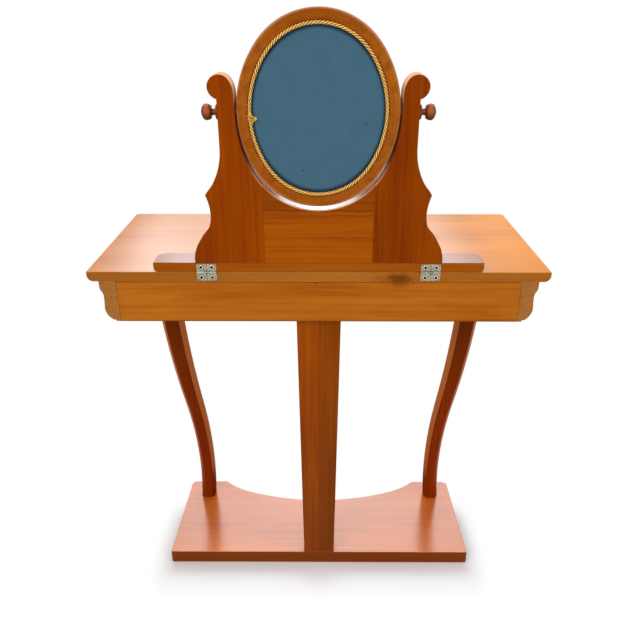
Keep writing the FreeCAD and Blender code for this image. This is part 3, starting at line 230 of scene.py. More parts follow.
class StageLooks(PropertyGroup):
    """Camera, lamps and floor."""

    camera_place: FloatVectorProperty(name="Camera", description="Where the camera stands", subtype="XYZ",
                                      unit="LENGTH", default=(-0.0076, 1.3605, 1.252))
    camera_turn: FloatVectorProperty(name="Camera turn", description="Which way the camera looks",
                                     subtype="EULER", unit="ROTATION",
                                     default=(math.radians(64.0), 0.0, math.radians(180.24)))
    camera_lens: FloatProperty(name="Lens", description="Focal length in millimetres", default=36.56)
    floor_colour: colour("Floor", "Pale floor under the table", (0.92, 0.92, 0.93))
    floor_reach: length("Floor reach", "Half the floor's side", 12.0)
    shadow_reach: length("Shadow reach", "How far from the base its shadow has gone", 0.12)
    ambient: FloatProperty(name="Ambient", description="Soft light from all round", default=0.45, min=0.0)


class TableLooks(PropertyGroup):
    """All that a user can change."""

    woods: PointerProperty(type=WoodColours)
    trim: PointerProperty(type=TrimLooks)
    cord: PointerProperty(type=CordSizes)
    hinges: PointerProperty(type=HingeSizes)
    stage: PointerProperty(type=StageLooks)


def looks():
    """What the user has chosen."""
    return bpy.context.scene.dressing_table


# Building node trees

def fill(tree, node, inputs):
    """Set a node's inputs; each is given a value or another node's output."""
    for name, given in inputs.items():
        if isinstance(given, bpy.types.NodeSocket):
            tree.links.new(given, node.inputs[name])
        else:
            node.inputs[name].default_value = given


def add(tree, kind, inputs=None, **settings):
    """A node with its settings and inputs."""
    node = tree.nodes.new(kind)
    for name, setting in settings.items():
        setattr(node, name, setting)
    fill(tree, node, inputs or {})
    return node


def maths(tree, operation, *terms, clamp=False):
    """The result of one sum on values or outputs."""
    node = add(tree, "ShaderNodeMath", dict(enumerate(terms)), operation=operation, use_clamp=clamp)
    return node.outputs[0]


def times(tree, first, second):
    """Two values or outputs, multiplied."""
    return maths(tree, "MULTIPLY", first, second)


def away(tree, value, level):
    """How far a value lies from a level, either way."""
    return maths(tree, "ABSOLUTE", maths(tree, "SUBTRACT", value, level))


def between(tree, value, low, high):
    """0 up to low, 1 from high and smooth between them; turned round where low is the larger."""
    node = add(tree, "ShaderNodeMapRange", {"Value": value, "From Min": low, "From Max": high},
               interpolation_type="SMOOTHSTEP")
    return node.outputs["Result"]


def vector_maths(tree, operation, *terms):
    """The vector result of one sum on vectors or outputs."""
    return add(tree, "ShaderNodeVectorMath", dict(enumerate(terms)), operation=operation).outputs[0]


def scaled(tree, vector, share):
    """A vector times a single value."""
    return add(tree, "ShaderNodeVectorMath", {0: vector, "Scale": share}, operation="SCALE").outputs[0]


def magnitude(tree, vector):
    """How long a vector is."""
    return add(tree, "ShaderNodeVectorMath", {0: vector}, operation="LENGTH").outputs["Value"]


def split(tree, vector):
    """The X, Y and Z of a vector."""
    return add(tree, "ShaderNodeSeparateXYZ", {0: vector}).outputs


def combine(tree, x=0.0, y=0.0, z=0.0):
    """A vector from its X, Y and Z."""
    return add(tree, "ShaderNodeCombineXYZ", {"X": x, "Y": y, "Z": z}).outputs[0]


def noise(tree, spot, waves, detail=2.0, roughness=0.5):
    """Smooth noise from 0 to 1; its waves to the metre are the same all ways or given for each axis."""
    if not isinstance(waves, float):
        spot, waves = vector_maths(tree, "MULTIPLY", spot, waves), 1.0
    node = add(tree, "ShaderNodeTexNoise", {"Vector": spot, "Scale": waves, "Detail": detail,
                                            "Roughness": roughness})
    return node.outputs["Fac"]


def mix_colours(tree, share, first, second):
    """Two colours, mixed by a share from 0 to 1."""
    node = add(tree, "ShaderNodeMix", {"Factor": share}, data_type="RGBA")
    for socket, given in zip(MIX_INPUTS, (first, second)):
        linked = isinstance(given, bpy.types.NodeSocket)
        fill(tree, node, {socket: given if linked else (*given, 1.0)})
    return node.outputs[MIX_OUTPUT]


def new_material(name):
    """A material with an empty tree, its shader and its texture coordinates."""
    material = bpy.data.materials.new(name)
    material.use_nodes = True
    tree = material.node_tree
    tree.nodes.clear()
    shader = add(tree, "ShaderNodeBsdfPrincipled")
    add(tree, "ShaderNodeOutputMaterial", {"Surface": shader.outputs[0]})
    add(tree, "ShaderNodeTexCoord")
    return material, tree, shader


def spot_of(material):
    """Where the surface is, in the model's frame."""
    return material.node_tree.nodes["Texture Coordinate"].outputs["Object"]


def normal_of(material):
    """Which way the surface faces."""
    return material.node_tree.nodes["Texture Coordinate"].outputs["Normal"]


def shader_input(material, name):
    """One input of a material's shader."""
    return material.node_tree.nodes["Principled BSDF"].inputs[name]


def raise_surface(tree, shader, height, depth):
    """Bump a surface by a height from 0 to 1, whose full depth is in metres."""
    bump = add(tree, "ShaderNodeBump", {"Height": height, "Distance": depth, "Strength": 1.0})
    tree.links.new(bump.outputs[0], shader.inputs["Normal"])


def shaded(tint, share):
    """A colour with a share of its light."""
    return [share * channel for channel in tint]


def tones(kind, share=1.0):
    """Early and late wood of a kind of board, with a share of their light."""
    woods = looks().woods
    return [shaded(getattr(woods, f"{kind}_{wood}"), share) for wood in ("pale", "deep")]


def finish(node, material):
    """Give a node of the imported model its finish."""
    mesh = NODES[node].data
    mesh.materials.clear()
    mesh.materials.append(material)


# Masks from 0 to 1

def turned(material, axis, low, high):
    """A mask for the faces that turn towards an axis."""
    tree = material.node_tree
    return between(tree, split(tree, normal_of(material))[axis], low, high)


def facing(material, axis, low, high):
    """A mask for the faces that turn towards an axis, either way."""
    tree = material.node_tree
    share = split(tree, normal_of(material))[axis]
    return between(tree, maths(tree, "ABSOLUTE", share), low, high)


def above(material, axis, level, blur):
    """A mask for all that lies past a level on an axis."""
    tree = material.node_tree
    return between(tree, split(tree, spot_of(material))[axis], level - blur, level + blur)


def below(material, axis, level, blur):
    """A mask for all that lies short of a level on an axis."""
    return above(material, axis, level, -blur)


def line(material, axis, level, half_width, sway=0.0):
    """A mask for a thin line across a board, which sways a little on its way."""
    tree = material.node_tree
    spot = spot_of(material)
    wander = maths(tree, "SUBTRACT", noise(tree, spot, 14.0, detail=3.0), 0.5)
    shifted = maths(tree, "MULTIPLY_ADD", wander, sway, split(tree, spot)[axis])
    return between(tree, away(tree, shifted, level), half_width, half_width * 0.2)


def blotch(material, centre, reach):
    """A mask for a ragged mark, with its reach on each axis."""
    tree = material.node_tree
    spot = spot_of(material)
    inside = vector_maths(tree, "DIVIDE", vector_maths(tree, "SUBTRACT", spot, centre), reach)
    ragged = noise(tree, spot, RAGGED_MARK, detail=4.0, roughness=0.7)
    return between(tree, maths(tree, "MULTIPLY_ADD", ragged, 1.6, magnitude(tree, inside)), 1.85, 1.00)


def oval_reach(material, node):
    """How far out a spot lies on the upright oval that fills a node's box: 1 on its outline."""
    tree = material.node_tree
    low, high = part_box(node)
    half = (high - low) / 2
    from_middle = vector_maths(tree, "SUBTRACT", spot_of(material), (low + high) / 2)
    return magnitude(tree, vector_maths(tree, "MULTIPLY", from_middle, (1 / half.x, 0.0, 1 / half.z)))


# What is laid over a finish

def stain(material, mask, tint, strength):
    """Lay a colour over a finish where a mask says."""
    tree = material.node_tree
    base = shader_input(material, "Base Color")
    share = times(tree, mask, strength)
    tree.links.new(mix_colours(tree, share, base.links[0].from_socket, tint), base)


def worn_edges(material, node, kind, strength):
    """Rub the long edges of a square board half way to bare wood, more here and less there."""
    tree = material.node_tree
    low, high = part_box(node)
    from_middle = vector_maths(tree, "SUBTRACT", spot_of(material), (low + high) / 2)
    x, y, z = split(tree, vector_maths(tree, "SUBTRACT", (high - low) / 2,
                                       vector_maths(tree, "ABSOLUTE", from_middle)))
    nearest_pair = maths(tree, "MAXIMUM", maths(tree, "MINIMUM", x, y),
                         maths(tree, "MINIMUM", maths(tree, "MAXIMUM", x, y), z))
    rubbed = between(tree, noise(tree, spot_of(material), 45.0, detail=3.0), 0.35, 0.62)
    mask = times(tree, between(tree, nearest_pair, WORN_REACH, 0.2 * WORN_REACH), rubbed)
    varnished, bare = tones(kind)[0], tones("plain")[0]
    stain(material, mask, [(one + other) / 2 for one, other in zip(varnished, bare)], strength)


def dark_joint(material, node, axis, reach, strength):
    """Darken the wood along the two ends of a board on an axis."""
    tree = material.node_tree
    low, high = (corner["XYZ".index(axis)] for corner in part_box(node))
    off = away(tree, split(tree, spot_of(material))[axis], (low + high) / 2)
    end = (high - low) / 2
    stain(material, between(tree, off, end - reach, end - 0.3 * reach), looks().woods.heartwood, strength)


def polish_upward(material, weight, low=0.30, high=0.80):
    """Thick polish on the faces that look up."""
    tree = material.node_tree
    coat = times(tree, turned(material, "Z", low, high), weight)
    tree.links.new(coat, shader_input(material, "Coat Weight"))


def thin_polish(material, near, far, share, middle=0.0):
    """Leave only a share of the polish far from a middle, fading from near to far."""
    tree = material.node_tree
    off = away(tree, split(tree, spot_of(material))["X"], middle)
    lost = times(tree, between(tree, off, near, far), 1.0 - share)
    coat = shader_input(material, "Coat Weight")
    tree.links.new(times(tree, coat.links[0].from_socket, maths(tree, "SUBTRACT", 1.0, lost)), coat)


def dull(material, mask, share):
    """Rougher wood under a mask."""
    tree = material.node_tree
    rough = shader_input(material, "Roughness")
    tree.links.new(maths(tree, "MULTIPLY_ADD", mask, share, rough.links[0].from_socket, clamp=True), rough)


# Wood

def grain_group():
    """Growth rings, fibres and pores of a board whose grain runs along X, in metres."""
    known = bpy.data.node_groups.get("BoardGrain")
    if known:
        return known
    tree = bpy.data.node_groups.new("BoardGrain", "ShaderNodeTree")
    for name, kind in (("Board", "NodeSocketVector"), ("Ring Width", "NodeSocketFloat")):
        tree.interface.new_socket(name=name, in_out="INPUT", socket_type=kind)
    for name in ("Depth", "Pores", "Fibres"):
        tree.interface.new_socket(name=name, in_out="OUTPUT", socket_type="NodeSocketFloat")
    given = add(tree, "NodeGroupInput").outputs
    board = given["Board"]
    _, across, through = split(tree, board)
    squares = maths(tree, "ADD", times(tree, across, across), times(tree, through, through))
    drift = noise(tree, board, RING_DRIFT, detail=3.0)
    drifted = maths(tree, "MULTIPLY_ADD", drift, DRIFT_REACH, maths(tree, "SQRT", squares))
    wavered = maths(tree, "MULTIPLY_ADD", noise(tree, board, RING_RIPPLE), RIPPLE_REACH, drifted)
    ring = maths(tree, "FRACT", maths(tree, "DIVIDE", wavered, given["Ring Width"]))
    # Late wood darkens slowly across a ring and ends sharply.
    late_wood = times(tree, between(tree, ring, 0.15, 0.85),
                      maths(tree, "SUBTRACT", 1.0, between(tree, ring, 0.90, 1.0)))
    fibres = noise(tree, board, FIBRES, detail=4.0, roughness=0.6)
    layers = ((late_wood, 0.14), (fibres, 0.9), (noise(tree, board, CLOUDS), 1.6),
              (noise(tree, board, STREAKS, detail=3.0), 0.8))
    depth = 0.5 - sum(share for _, share in layers) / 2
    for layer, share in layers:
        depth = maths(tree, "MULTIPLY_ADD", layer, share, depth)
    depth = maths(tree, "ADD", depth, 0.0, clamp=True)
    pores = between(tree, noise(tree, board, PORES, detail=1.0), 0.66, 0.74)
    add(tree, "NodeGroupOutput", {"Depth": depth, "Pores": pores, "Fibres": fibres})
    return tree


def bent_grain(tree, spot, centre):
    """Board coordinates of a ring: along it, out from its centre, and through it."""
    x, through, z = split(tree, vector_maths(tree, "SUBTRACT", spot, centre))
    out = magnitude(tree, combine(tree, x, z))
    along = times(tree, maths(tree, "ARCTAN2", x, z), BEND_RADIUS)
    return combine(tree, along, out, through)


def board_material(name, kind, grain, offset, tone=1.0, varnish=0.0, gloss=0.20, sawn_share=0.8,
                   ring_width=0.011, polish_ior=1.45, shine=0.14, bend=None):
    """Wood of one board, in the two colours of its kind.

    Grain is the board's turn, and offset puts the heart of the tree beside it. A bent board has its grain
    round the point bend instead. Varnish, gloss and polish_ior are the weight, roughness and index of its
    polish, shine is the gloss of the wood itself, and sawn_share how much its ends show the saw.
    """
    material, tree, shader = new_material(name)
    pale, deep = tones(kind, tone)
    if bend:
        board = bent_grain(tree, spot_of(material), bend)
    else:
        board = add(tree, "ShaderNodeMapping", {"Vector": spot_of(material), "Location": offset,
                                                "Rotation": grain}).outputs[0]
    figure = add(tree, "ShaderNodeGroup", node_tree=grain_group())
    fill(tree, figure, {"Board": board, "Ring Width": ring_width})
    depth, pores, fibres = figure.outputs
    clear = mix_colours(tree, depth, pale, deep)
    wood = mix_colours(tree, times(tree, pores, 0.35), clear, shaded(deep, 0.35))
    normal = add(tree, "ShaderNodeMapping", {"Vector": normal_of(material), "Rotation": grain},
                 vector_type="NORMAL").outputs[0]
    sawn = between(tree, maths(tree, "ABSOLUTE", split(tree, normal)["X"]), 0.80, 0.97)
    end_grain = looks().woods.end_grain
    rows = between(tree, noise(tree, spot_of(material), SAWN_SPECKLE), 0.35, 0.68)
    speckle = mix_colours(tree, rows, end_grain, shaded(end_grain, 0.52))
    fill(tree, shader, {
        "Base Color": mix_colours(tree, times(tree, sawn, sawn_share), wood, speckle),
        "Roughness": maths(tree, "MULTIPLY_ADD", fibres, 0.20, 0.36),
        "Specular IOR Level": shine, "Specular Tint": (1.0, 0.50, 0.12, 1.0),
        "Coat Weight": varnish, "Coat Roughness": gloss, "Coat IOR": polish_ior})
    raise_surface(tree, shader, fibres, depth=0.00012)
    return material


def bare_wood(name, grain, offset=(0.2, 0.1, -0.6)):
    """Unvarnished wood of a board that is hidden when the table is shut."""
    return board_material(name, "plain", grain, offset)


class DRESSING_OT_table_boards(Operator):
    """Varnish the top and the base board"""

    bl_idname = "dressing_table.table_boards"
    bl_label = "Table boards"

    def execute(self, context):
        woods = looks().woods
        finish("table_top", self.top_wood(woods))
        base = board_material("base_wood", "base", GRAIN_ALONG_X, (1.3, -0.04, 0.10), polish_ior=1.66,
                              shine=LOW_SHINE)
        polish_upward(base, 1.0)
        # Painted shade on the base's edges.
        stain(base, facing(base, "Z", *LEVEL_EDGE), woods.heartwood, 0.86)
        worn_edges(base, "base_board", "base", strength=0.15)
        finish("base_board", base)
        return {"FINISHED"}

    def top_wood(self, woods):
        """Honey wood, painted shade and more polish at one end, painted light at the other, a knot in its
        rear edge.
        """
        top = board_material("top_wood", "top", GRAIN_ALONG_X, (0.3, 0.06, -0.86), gloss=0.24)
        polish_upward(top, 0.82)
        thin_polish(top, near=0.29, far=0.43, share=0.15, middle=0.065)
        # Painted shade towards the +X end, and painted light on the top face towards the -X end.
        stain(top, above(top, "X", 0.18, blur=0.14), shaded(woods.top_deep, 0.8), 0.50)
        painted_light_end = times(top.node_tree, below(top, "X", -0.36, blur=0.06), facing(top, "Z", 0.2, 0.6))
        stain(top, painted_light_end, shaded(woods.top_pale, 1.2), 0.45)
        # Painted shade on the top's edges.
        stain(top, facing(top, "Z", *LEVEL_EDGE), shaded(woods.top_deep, 0.5), 0.53)
        low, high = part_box("table_top")
        knot = (WOOD_KNOT_ACROSS, high.y, low.z + 0.3 * (high.z - low.z))
        for reach, strength in (((0.060, 0.014, 0.016), 0.40), ((0.030, 0.012, 0.016), 0.75)):
            stain(top, blotch(top, knot, reach), woods.heartwood, strength)
        worn_edges(top, "table_top", "top", strength=0.18)
        return top


class DRESSING_OT_frieze(Operator):
    """Varnish the rail and mouldings under the top and leave the inner boards plain"""

    bl_idname = "dressing_table.frieze"
    bl_label = "Frieze"

    def execute(self, context):
        rail = board_material("rail_wood", "rail", GRAIN_ALONG_X, (2.2, -0.30, -0.70))
        _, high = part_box("rear_rail")
        knot = blotch(rail, (WOOD_KNOT_ACROSS, high.y, high.z), (0.030, 0.020, 0.018))
        stain(rail, knot, looks().woods.heartwood, 0.55)
        worn_edges(rail, "rear_rail", "rail", strength=0.15)
        dark_joint(rail, "rear_rail", "X", reach=0.0016, strength=0.8)
        dark_joint(rail, "rear_rail", "Z", reach=0.0028, strength=0.75)
        finish("rear_rail", rail)
        for number, side in enumerate(SIDES):
            finish(f"{side}_side_moulding", board_material(f"{side}_moulding_wood", "rail", GRAIN_ALONG_Y,
                                                           (0.7 * number, 0.48, -0.66)))
            for node in (f"{side}_bearer", f"{side}_drawer_guide"):
                finish(node, bare_wood(f"{node}_wood", GRAIN_ALONG_Y))
        for node in ("front_rail", "rear_glue_blocks"):
            finish(node, bare_wood(f"{node}_wood", GRAIN_ALONG_X))
        finish("rear_rail_nails", metal("nail_iron", looks().trim.old_iron, 0.55))
        return {"FINISHED"}


class DRESSING_OT_legs(Operator):
    """Varnish the rear post and the bent legs"""

    bl_idname = "dressing_table.legs"
    bl_label = "Legs and post"

    def execute(self, context):
        woods = looks().woods
        for side, tone, offset in (("right", 1.12, (0.1, -0.25, 0.08)), ("left", 0.82, (1.9, -0.20, -0.10))):
            stave = board_material(f"post_{side}_wood", "post", GRAIN_ALONG_Z, offset, tone=tone)
            stain(stave, line(stave, "X", 0.0, half_width=0.0012), woods.heartwood, 0.55)
            # Painted shade, darker towards the foot.
            stain(stave, below(stave, "Z", 0.25, blur=0.35), woods.heartwood, 0.35)
            finish(f"rear_post_{side}", stave)
        for number, side in enumerate(SIDES):
            leg = board_material(f"{side}_leg_wood", "leg", GRAIN_ALONG_Z, (0.9 * number, 0.11, 0.30),
                                 sawn_share=0.3, shine=LOW_SHINE)
            self.wear_leg(leg, f"{side}_leg", woods)
            finish(f"{side}_leg", leg)
        return {"FINISHED"}

    def wear_leg(self, leg, node, woods):
        """Paint shade on the leg under the frieze, and light on its chamfers, in a band that narrows towards
        the foot.
        """
        narrowing = 0.0040
        tree = leg.node_tree
        low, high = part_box(node)
        _, depth, height = split(tree, spot_of(leg))
        inset = maths(tree, "SUBTRACT", (high.y - low.y) / 2, away(tree, depth, (low.y + high.y) / 2))
        drop = maths(tree, "DIVIDE", maths(tree, "SUBTRACT", high.z, height), high.z - low.z)
        band = maths(tree, "MULTIPLY_ADD", drop, -narrowing, inset)
        # Painted light on the chamfers in this band, and painted shade on the leg under the frieze.
        rubbed = times(tree, facing(leg, "X", 0.35, 0.60), between(tree, band, 0.0003, 0.0015))
        stain(leg, above(leg, "Z", high.z - 0.24, blur=0.20), shaded(woods.heartwood, 0.7), 0.85)
        stain(leg, times(tree, rubbed, above(leg, "Z", low.z + 0.10, blur=0.03)), woods.leg_chamfer_light, 0.85)
        dull(leg, facing(leg, "X", 0.80, 0.95), share=0.5)


class DRESSING_OT_drawer(Operator):
    """Varnish the drawer's front and leave its box plain"""

    bl_idname = "dressing_table.drawer"
    bl_label = "Drawer"

    def execute(self, context):
        finish("drawer_front", board_material("drawer_front_wood", "rail", GRAIN_ALONG_X, (3.1, 0.33, -0.64),
                                              varnish=0.15))
        for number, side in enumerate(SIDES):
            finish(f"drawer_{side}_side", bare_wood(f"drawer_{side}_wood", GRAIN_ALONG_Y,
                                                    (0.5 * number, 0.40, -0.60)))
        across = bare_wood("drawer_cross_wood", GRAIN_ALONG_X, (1.1, 0.10, -0.60))
        finish("drawer_back", across)
        finish("drawer_bottom", across)
        finish("drawer_knob_screws", metal("knob_screw_steel", looks().trim.steel, 0.35))
        return {"FINISHED"}


class DRESSING_OT_knobs(Operator):
    """Polish the turned knobs of the drawer and of the mirror"""

    bl_idname = "dressing_table.knobs"
    bl_label = "Turned knobs"

    def execute(self, context):
        dark = shaded(looks().woods.heartwood, 0.5)
        for kind, axis, grain, offset in (("SIDE_mirror_knob", "X", GRAIN_ALONG_X, (0.1, -0.15, -1.04)),
                                          ("drawer_SIDE_knob", "Y", GRAIN_ALONG_Y, (0.2, 0.02, -0.69))):
            knob = board_material(kind.replace("SIDE_", "") + "_wood", "knob", grain, offset, varnish=0.25,
                                  gloss=0.30, sawn_share=0.0, ring_width=0.004)
            # Painted shade on the faces along the knob's axis and on its underside.
            stain(knob, facing(knob, axis, 0.25, 0.70), dark, 0.85)
            stain(knob, turned(knob, "Z", 0.30, -0.60), dark, 0.80)
            for side in SIDES:
                finish(kind.replace("SIDE", side), knob)
        return {"FINISHED"}


class DRESSING_OT_mirror_stand(Operator):
    """Varnish the stand's board, uprights and panel"""

    bl_idname = "dressing_table.mirror_stand"
    bl_label = "Mirror stand"

    def execute(self, context):
        woods = looks().woods
        foot = board_material("stand_board_wood", "stand", GRAIN_ALONG_X, (0.8, -0.20, -0.90))
        polish_upward(foot, 0.75)
        thin_polish(foot, near=0.24, far=0.33, share=0.5)
        worn_edges(foot, "stand_board", "stand", strength=0.15)
        dark_joint(foot, "stand_board", "Z", reach=0.0016, strength=0.6)
        finish("stand_board", foot)
        for side, inward, tone, offset in (("left", 1, 0.90, (0.0, -0.10, 0.30)),
                                           ("right", -1, 1.00, (1.7, -0.10, 0.30))):
            upright = board_material(f"{side}_upright_wood", "upright", GRAIN_ALONG_Z, offset, tone=tone,
                                     sawn_share=0.0, shine=LOW_SHINE)
            self.wear_upright(upright, f"{side}_upright", inward, woods)
            finish(f"{side}_upright", upright)
        finish("stand_panel", self.panel_wood(woods))
        finish("stand_dowels", bare_wood("dowel_wood", GRAIN_ALONG_Z, (0.0, 0.02, 0.02)))
        return {"FINISHED"}

    def wear_upright(self, upright, node, inward, woods):
        """Dull sawn edges, painted shade beside the mirror, and painted highlights over the scroll head and
        in the hollow.

        The mirror lies towards +X where inward is 1, and towards -X where it is -1.
        """
        tree = upright.node_tree
        low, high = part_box(node)
        # Painted shade on the inner edge beside the mirror.
        inner_edge = turned(upright, "X", 0.30 * inward, 0.70 * inward)
        stain(upright, inner_edge, woods.heartwood, 0.75)
        # Painted highlights on the scroll head's upward faces, on the inner edge near the top and in the
        # hollow.
        head = above(upright, "Z", low.z + 0.75 * (high.z - low.z), blur=0.02)
        stain(upright, times(tree, turned(upright, "Z", 0.15, 0.45), head), woods.rim, 0.85)
        beside = times(tree, inner_edge, above(upright, "Z", high.z - 0.042, blur=0.014))
        stain(upright, beside, woods.rim, 0.7)
        slope = times(tree, turned(upright, "Z", 0.26, 0.60),
                      turned(upright, "X", 0.25 * inward, 0.45 * inward))
        hollow = times(tree, slope, maths(tree, "SUBTRACT", 1.0, head))
        stain(upright, hollow, woods.rim, 0.7)
        dull(upright, facing(upright, "Y", *UPRIGHT_EDGE), share=0.5)

    def panel_wood(self, woods):
        """Orange wood that darkens towards the top, with dark streaks where it changes."""
        panel = board_material("panel_wood", "panel", GRAIN_ALONG_X, (0.5, -0.24, -0.62), gloss=0.12,
                               polish_ior=1.9)
        low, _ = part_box("stand_panel")
        change = low.z + PANEL_CHANGE
        stain(panel, above(panel, "Z", change, blur=0.012), shaded(woods.panel_deep, 0.85), 0.55)
        for rise, half_width, sway, strength in PANEL_STREAKS:
            stain(panel, line(panel, "Z", change + rise, half_width, sway), woods.heartwood, strength)
        dark_joint(panel, "stand_panel", "X", reach=0.0014, strength=0.6)
        # Painted highlight on the upward faces of the panel's top edge.
        stain(panel, turned(panel, "Z", 0.45, 0.70), woods.rim, 0.75)
        polish_upward(panel, 1.0, low=0.75, high=0.92)
        dull(panel, facing(panel, "Y", *UPRIGHT_EDGE), share=0.4)
        return panel


# Metal, glass and paper

def metal(name, tint, roughness):
    """Plain metal with dull and rubbed patches."""
    material, tree, shader = new_material(name)
    patches = noise(tree, spot_of(material), 700.0, detail=3.0)
    fill(tree, shader, {"Base Color": mix_colours(tree, patches, tint, shaded(tint, 0.55)), "Metallic": 1.0,
                        "Roughness": maths(tree, "MULTIPLY_ADD", patches, 0.2, roughness)})
    return material


def nickel_material(sizes):
    """Aged plating: bright where it is rubbed, and black in the hollows round rings, petals and knuckles."""
    material, tree, shader = new_material("aged_nickel")
    spot = spot_of(material)
    trim = looks().trim
    patches = between(tree, noise(tree, spot, 420.0, detail=4.0), 0.42, 0.68)
    fill(tree, shader, {"Base Color": mix_colours(tree, patches, trim.nickel, trim.tarnish), "Metallic": 1.0,
                        "Roughness": maths(tree, "MULTIPLY_ADD", patches, 0.30, 0.30)})
    raise_surface(tree, shader, noise(tree, spot, 1600.0), depth=0.00008)

    across, _, up = split(tree, spot)
    leaf_low, leaf_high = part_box("right_hinge_table_leaf")
    side = away(tree, maths(tree, "ABSOLUTE", across), (leaf_low.x + leaf_high.x) / 2)
    rise = away(tree, up, hinge_level())
    screw = sizes.screw_spacing / 2
    to_screw = combine(tree, maths(tree, "SUBTRACT", side, screw), maths(tree, "SUBTRACT", rise, screw))
    reach = magnitude(tree, to_screw)
    bead = sizes.boss_bead
    on_ring = away(tree, reach, sizes.boss_radius)
    stain(material, between(tree, on_ring, bead, 0.5 * bead), trim.rubbed_nickel, 0.9)
    hole = sizes.boss_radius - 0.5 * bead
    moat = 1.2 * (sizes.boss_radius + bead)
    beside_petal = away(tree, away(tree, side, rise), 1.5 * sizes.petal_wide)
    outside_moat = between(tree, reach, moat, 1.4 * (sizes.boss_radius + bead))
    # Round a ring, in a screw's hole, beside the petals, up the middle of a leaf and along the knuckles.
    hollows = ((between(tree, away(tree, reach, moat), 0.0009, 0.0003), 0.85),
               (between(tree, reach, hole + 0.3 * bead, hole), 0.95),
               (times(tree, between(tree, beside_petal, 0.0010, 0.0003), outside_moat), 0.80),
               (between(tree, side, 0.0018, 0.0006), 0.50),
               (between(tree, rise, 0.0030, 0.0022), 0.22))
    for mask, strength in hollows:
        stain(material, mask, trim.black_tarnish, strength)
    return material


class DRESSING_OT_mirror(Operator):
    """Finish the oval frame, its glass, its papered back and its pivots"""

    bl_idname = "dressing_table.mirror"
    bl_label = "Mirror"

    def execute(self, context):
        finish("mirror_frame", self.frame_wood(looks().woods))
        finish("mirror_glass", self.silvered_glass(looks().trim))
        finish("mirror_backing", self.blue_paper(looks().trim.paper_blue))
        steel = metal("pivot_steel", looks().trim.steel, 0.25)
        for side in SIDES:
            finish(f"{side}_pivot_rod", steel)
            finish(f"{side}_pivot_washer", steel)
        return {"FINISHED"}

    def frame_wood(self, woods):
        """Mottled wood bent round the oval, dark at the top, with painted shade by the cord and a painted
        highlight on its outer edge.
        """
        low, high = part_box("mirror_frame")
        ring = board_material("mirror_frame_wood", "mirror", GRAIN_ALONG_X, (0.0, 0.0, 0.0), sawn_share=0.0,
                              bend=(low + high) / 2)
        tree = ring.node_tree
        stain(ring, above(ring, "Z", high.z - 0.045, blur=0.04), shaded(woods.mirror_deep, 0.9), 0.55)
        mottle = noise(tree, spot_of(ring), 62.0, detail=4.0, roughness=0.65)
        stain(ring, between(tree, mottle, 0.38, 0.78), shaded(woods.mirror_deep, 0.75), 0.7)
        # Painted shade beside the cord, and a painted highlight round the frame's outer edge.
        stain(ring, between(tree, oval_reach(ring, "gold_cord"), 1.022, 1.004), woods.heartwood, 0.75)
        stain(ring, between(tree, oval_reach(ring, "mirror_frame"), 0.972, 0.995), woods.rim, 0.30)
        polish_upward(ring, 0.6)
        return ring

    def silvered_glass(self, trim):
        """Old looking-glass with a few dull spots in its silver."""
        material, tree, shader = new_material("silvered_glass")
        spots = between(tree, noise(tree, spot_of(material), 160.0, detail=3.0), 0.70, 0.76)
        fill(tree, shader, {
            "Base Color": mix_colours(tree, times(tree, spots, 0.5), trim.silver, trim.dull_silver),
            "Metallic": 1.0, "Roughness": maths(tree, "MULTIPLY_ADD", spots, 0.2, 0.015)})
        return material

    def blue_paper(self, paper):
        """Dull blue-grey paper, faintly mottled and laid, with a painted shadow along the cord and two
        specks.
        """
        material, tree, shader = new_material("blue_paper")
        spot = spot_of(material)
        mottle = noise(tree, spot, 28.0, detail=4.0, roughness=0.6)
        laid = noise(tree, spot, LAID_PAPER)
        share = maths(tree, "ADD", times(tree, mottle, 0.6), times(tree, laid, 0.4))
        fill(tree, shader, {
            "Base Color": mix_colours(tree, share, shaded(paper, 1.22), shaded(paper, 0.80)),
            "Roughness": 0.78, "Specular IOR Level": 0.12})
        raise_surface(tree, shader, laid, depth=0.00010)
        # Painted shadow of the cord on the paper.
        cord_shadow = between(tree, oval_reach(material, "gold_cord"), 0.90, 0.95)
        stain(material, cord_shadow, shaded(paper, 0.12), 0.85)
        _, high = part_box("mirror_backing")
        for across, up in PAPER_SPECKS:
            speck = blotch(material, (across, high.y, up), (0.003, 0.05, 0.003))
            stain(material, speck, shaded(paper, 0.3), 0.7)
        return material


# Meshes from geometry trees

def geometry_tree(name, floats, whole=()):
    """A geometry tree and its inputs: the geometry, then named sizes and named whole numbers."""
    tree = bpy.data.node_groups.new(name, "GeometryNodeTree")
    labels = {"Geometry": ("Geometry",), "Float": floats, "Int": whole}
    for kind, names in labels.items():
        for label in names:
            tree.interface.new_socket(name=label, in_out="INPUT", socket_type=f"NodeSocket{kind}")
    tree.interface.new_socket(name="Geometry", in_out="OUTPUT", socket_type="NodeSocketGeometry")
    return tree, add(tree, "NodeGroupInput").outputs


def shape(tree, kind, inputs=None, **settings):
    """What a geometry node makes."""
    return add(tree, f"GeometryNode{kind}", inputs, **settings).outputs[0]


def circle(tree, sides, radius):
    """A round curve."""
    return shape(tree, "CurvePrimitiveCircle", {"Resolution": sides, "Radius": radius})


def remember(tree, geometry, name, value):
    """Keep a value of each point under a name."""
    return shape(tree, "StoreNamedAttribute", {"Geometry": geometry, "Name": name, "Value": value},
                 data_type="FLOAT", domain="POINT")


def set_on_points(tree, points, instance, turn=0.0):
    """One copy of a shape on each point, turned in the plane that faces +Y."""
    return shape(tree, "InstanceOnPoints", {"Points": points, "Instance": instance,
                                            "Rotation": combine(tree, y=turn)})


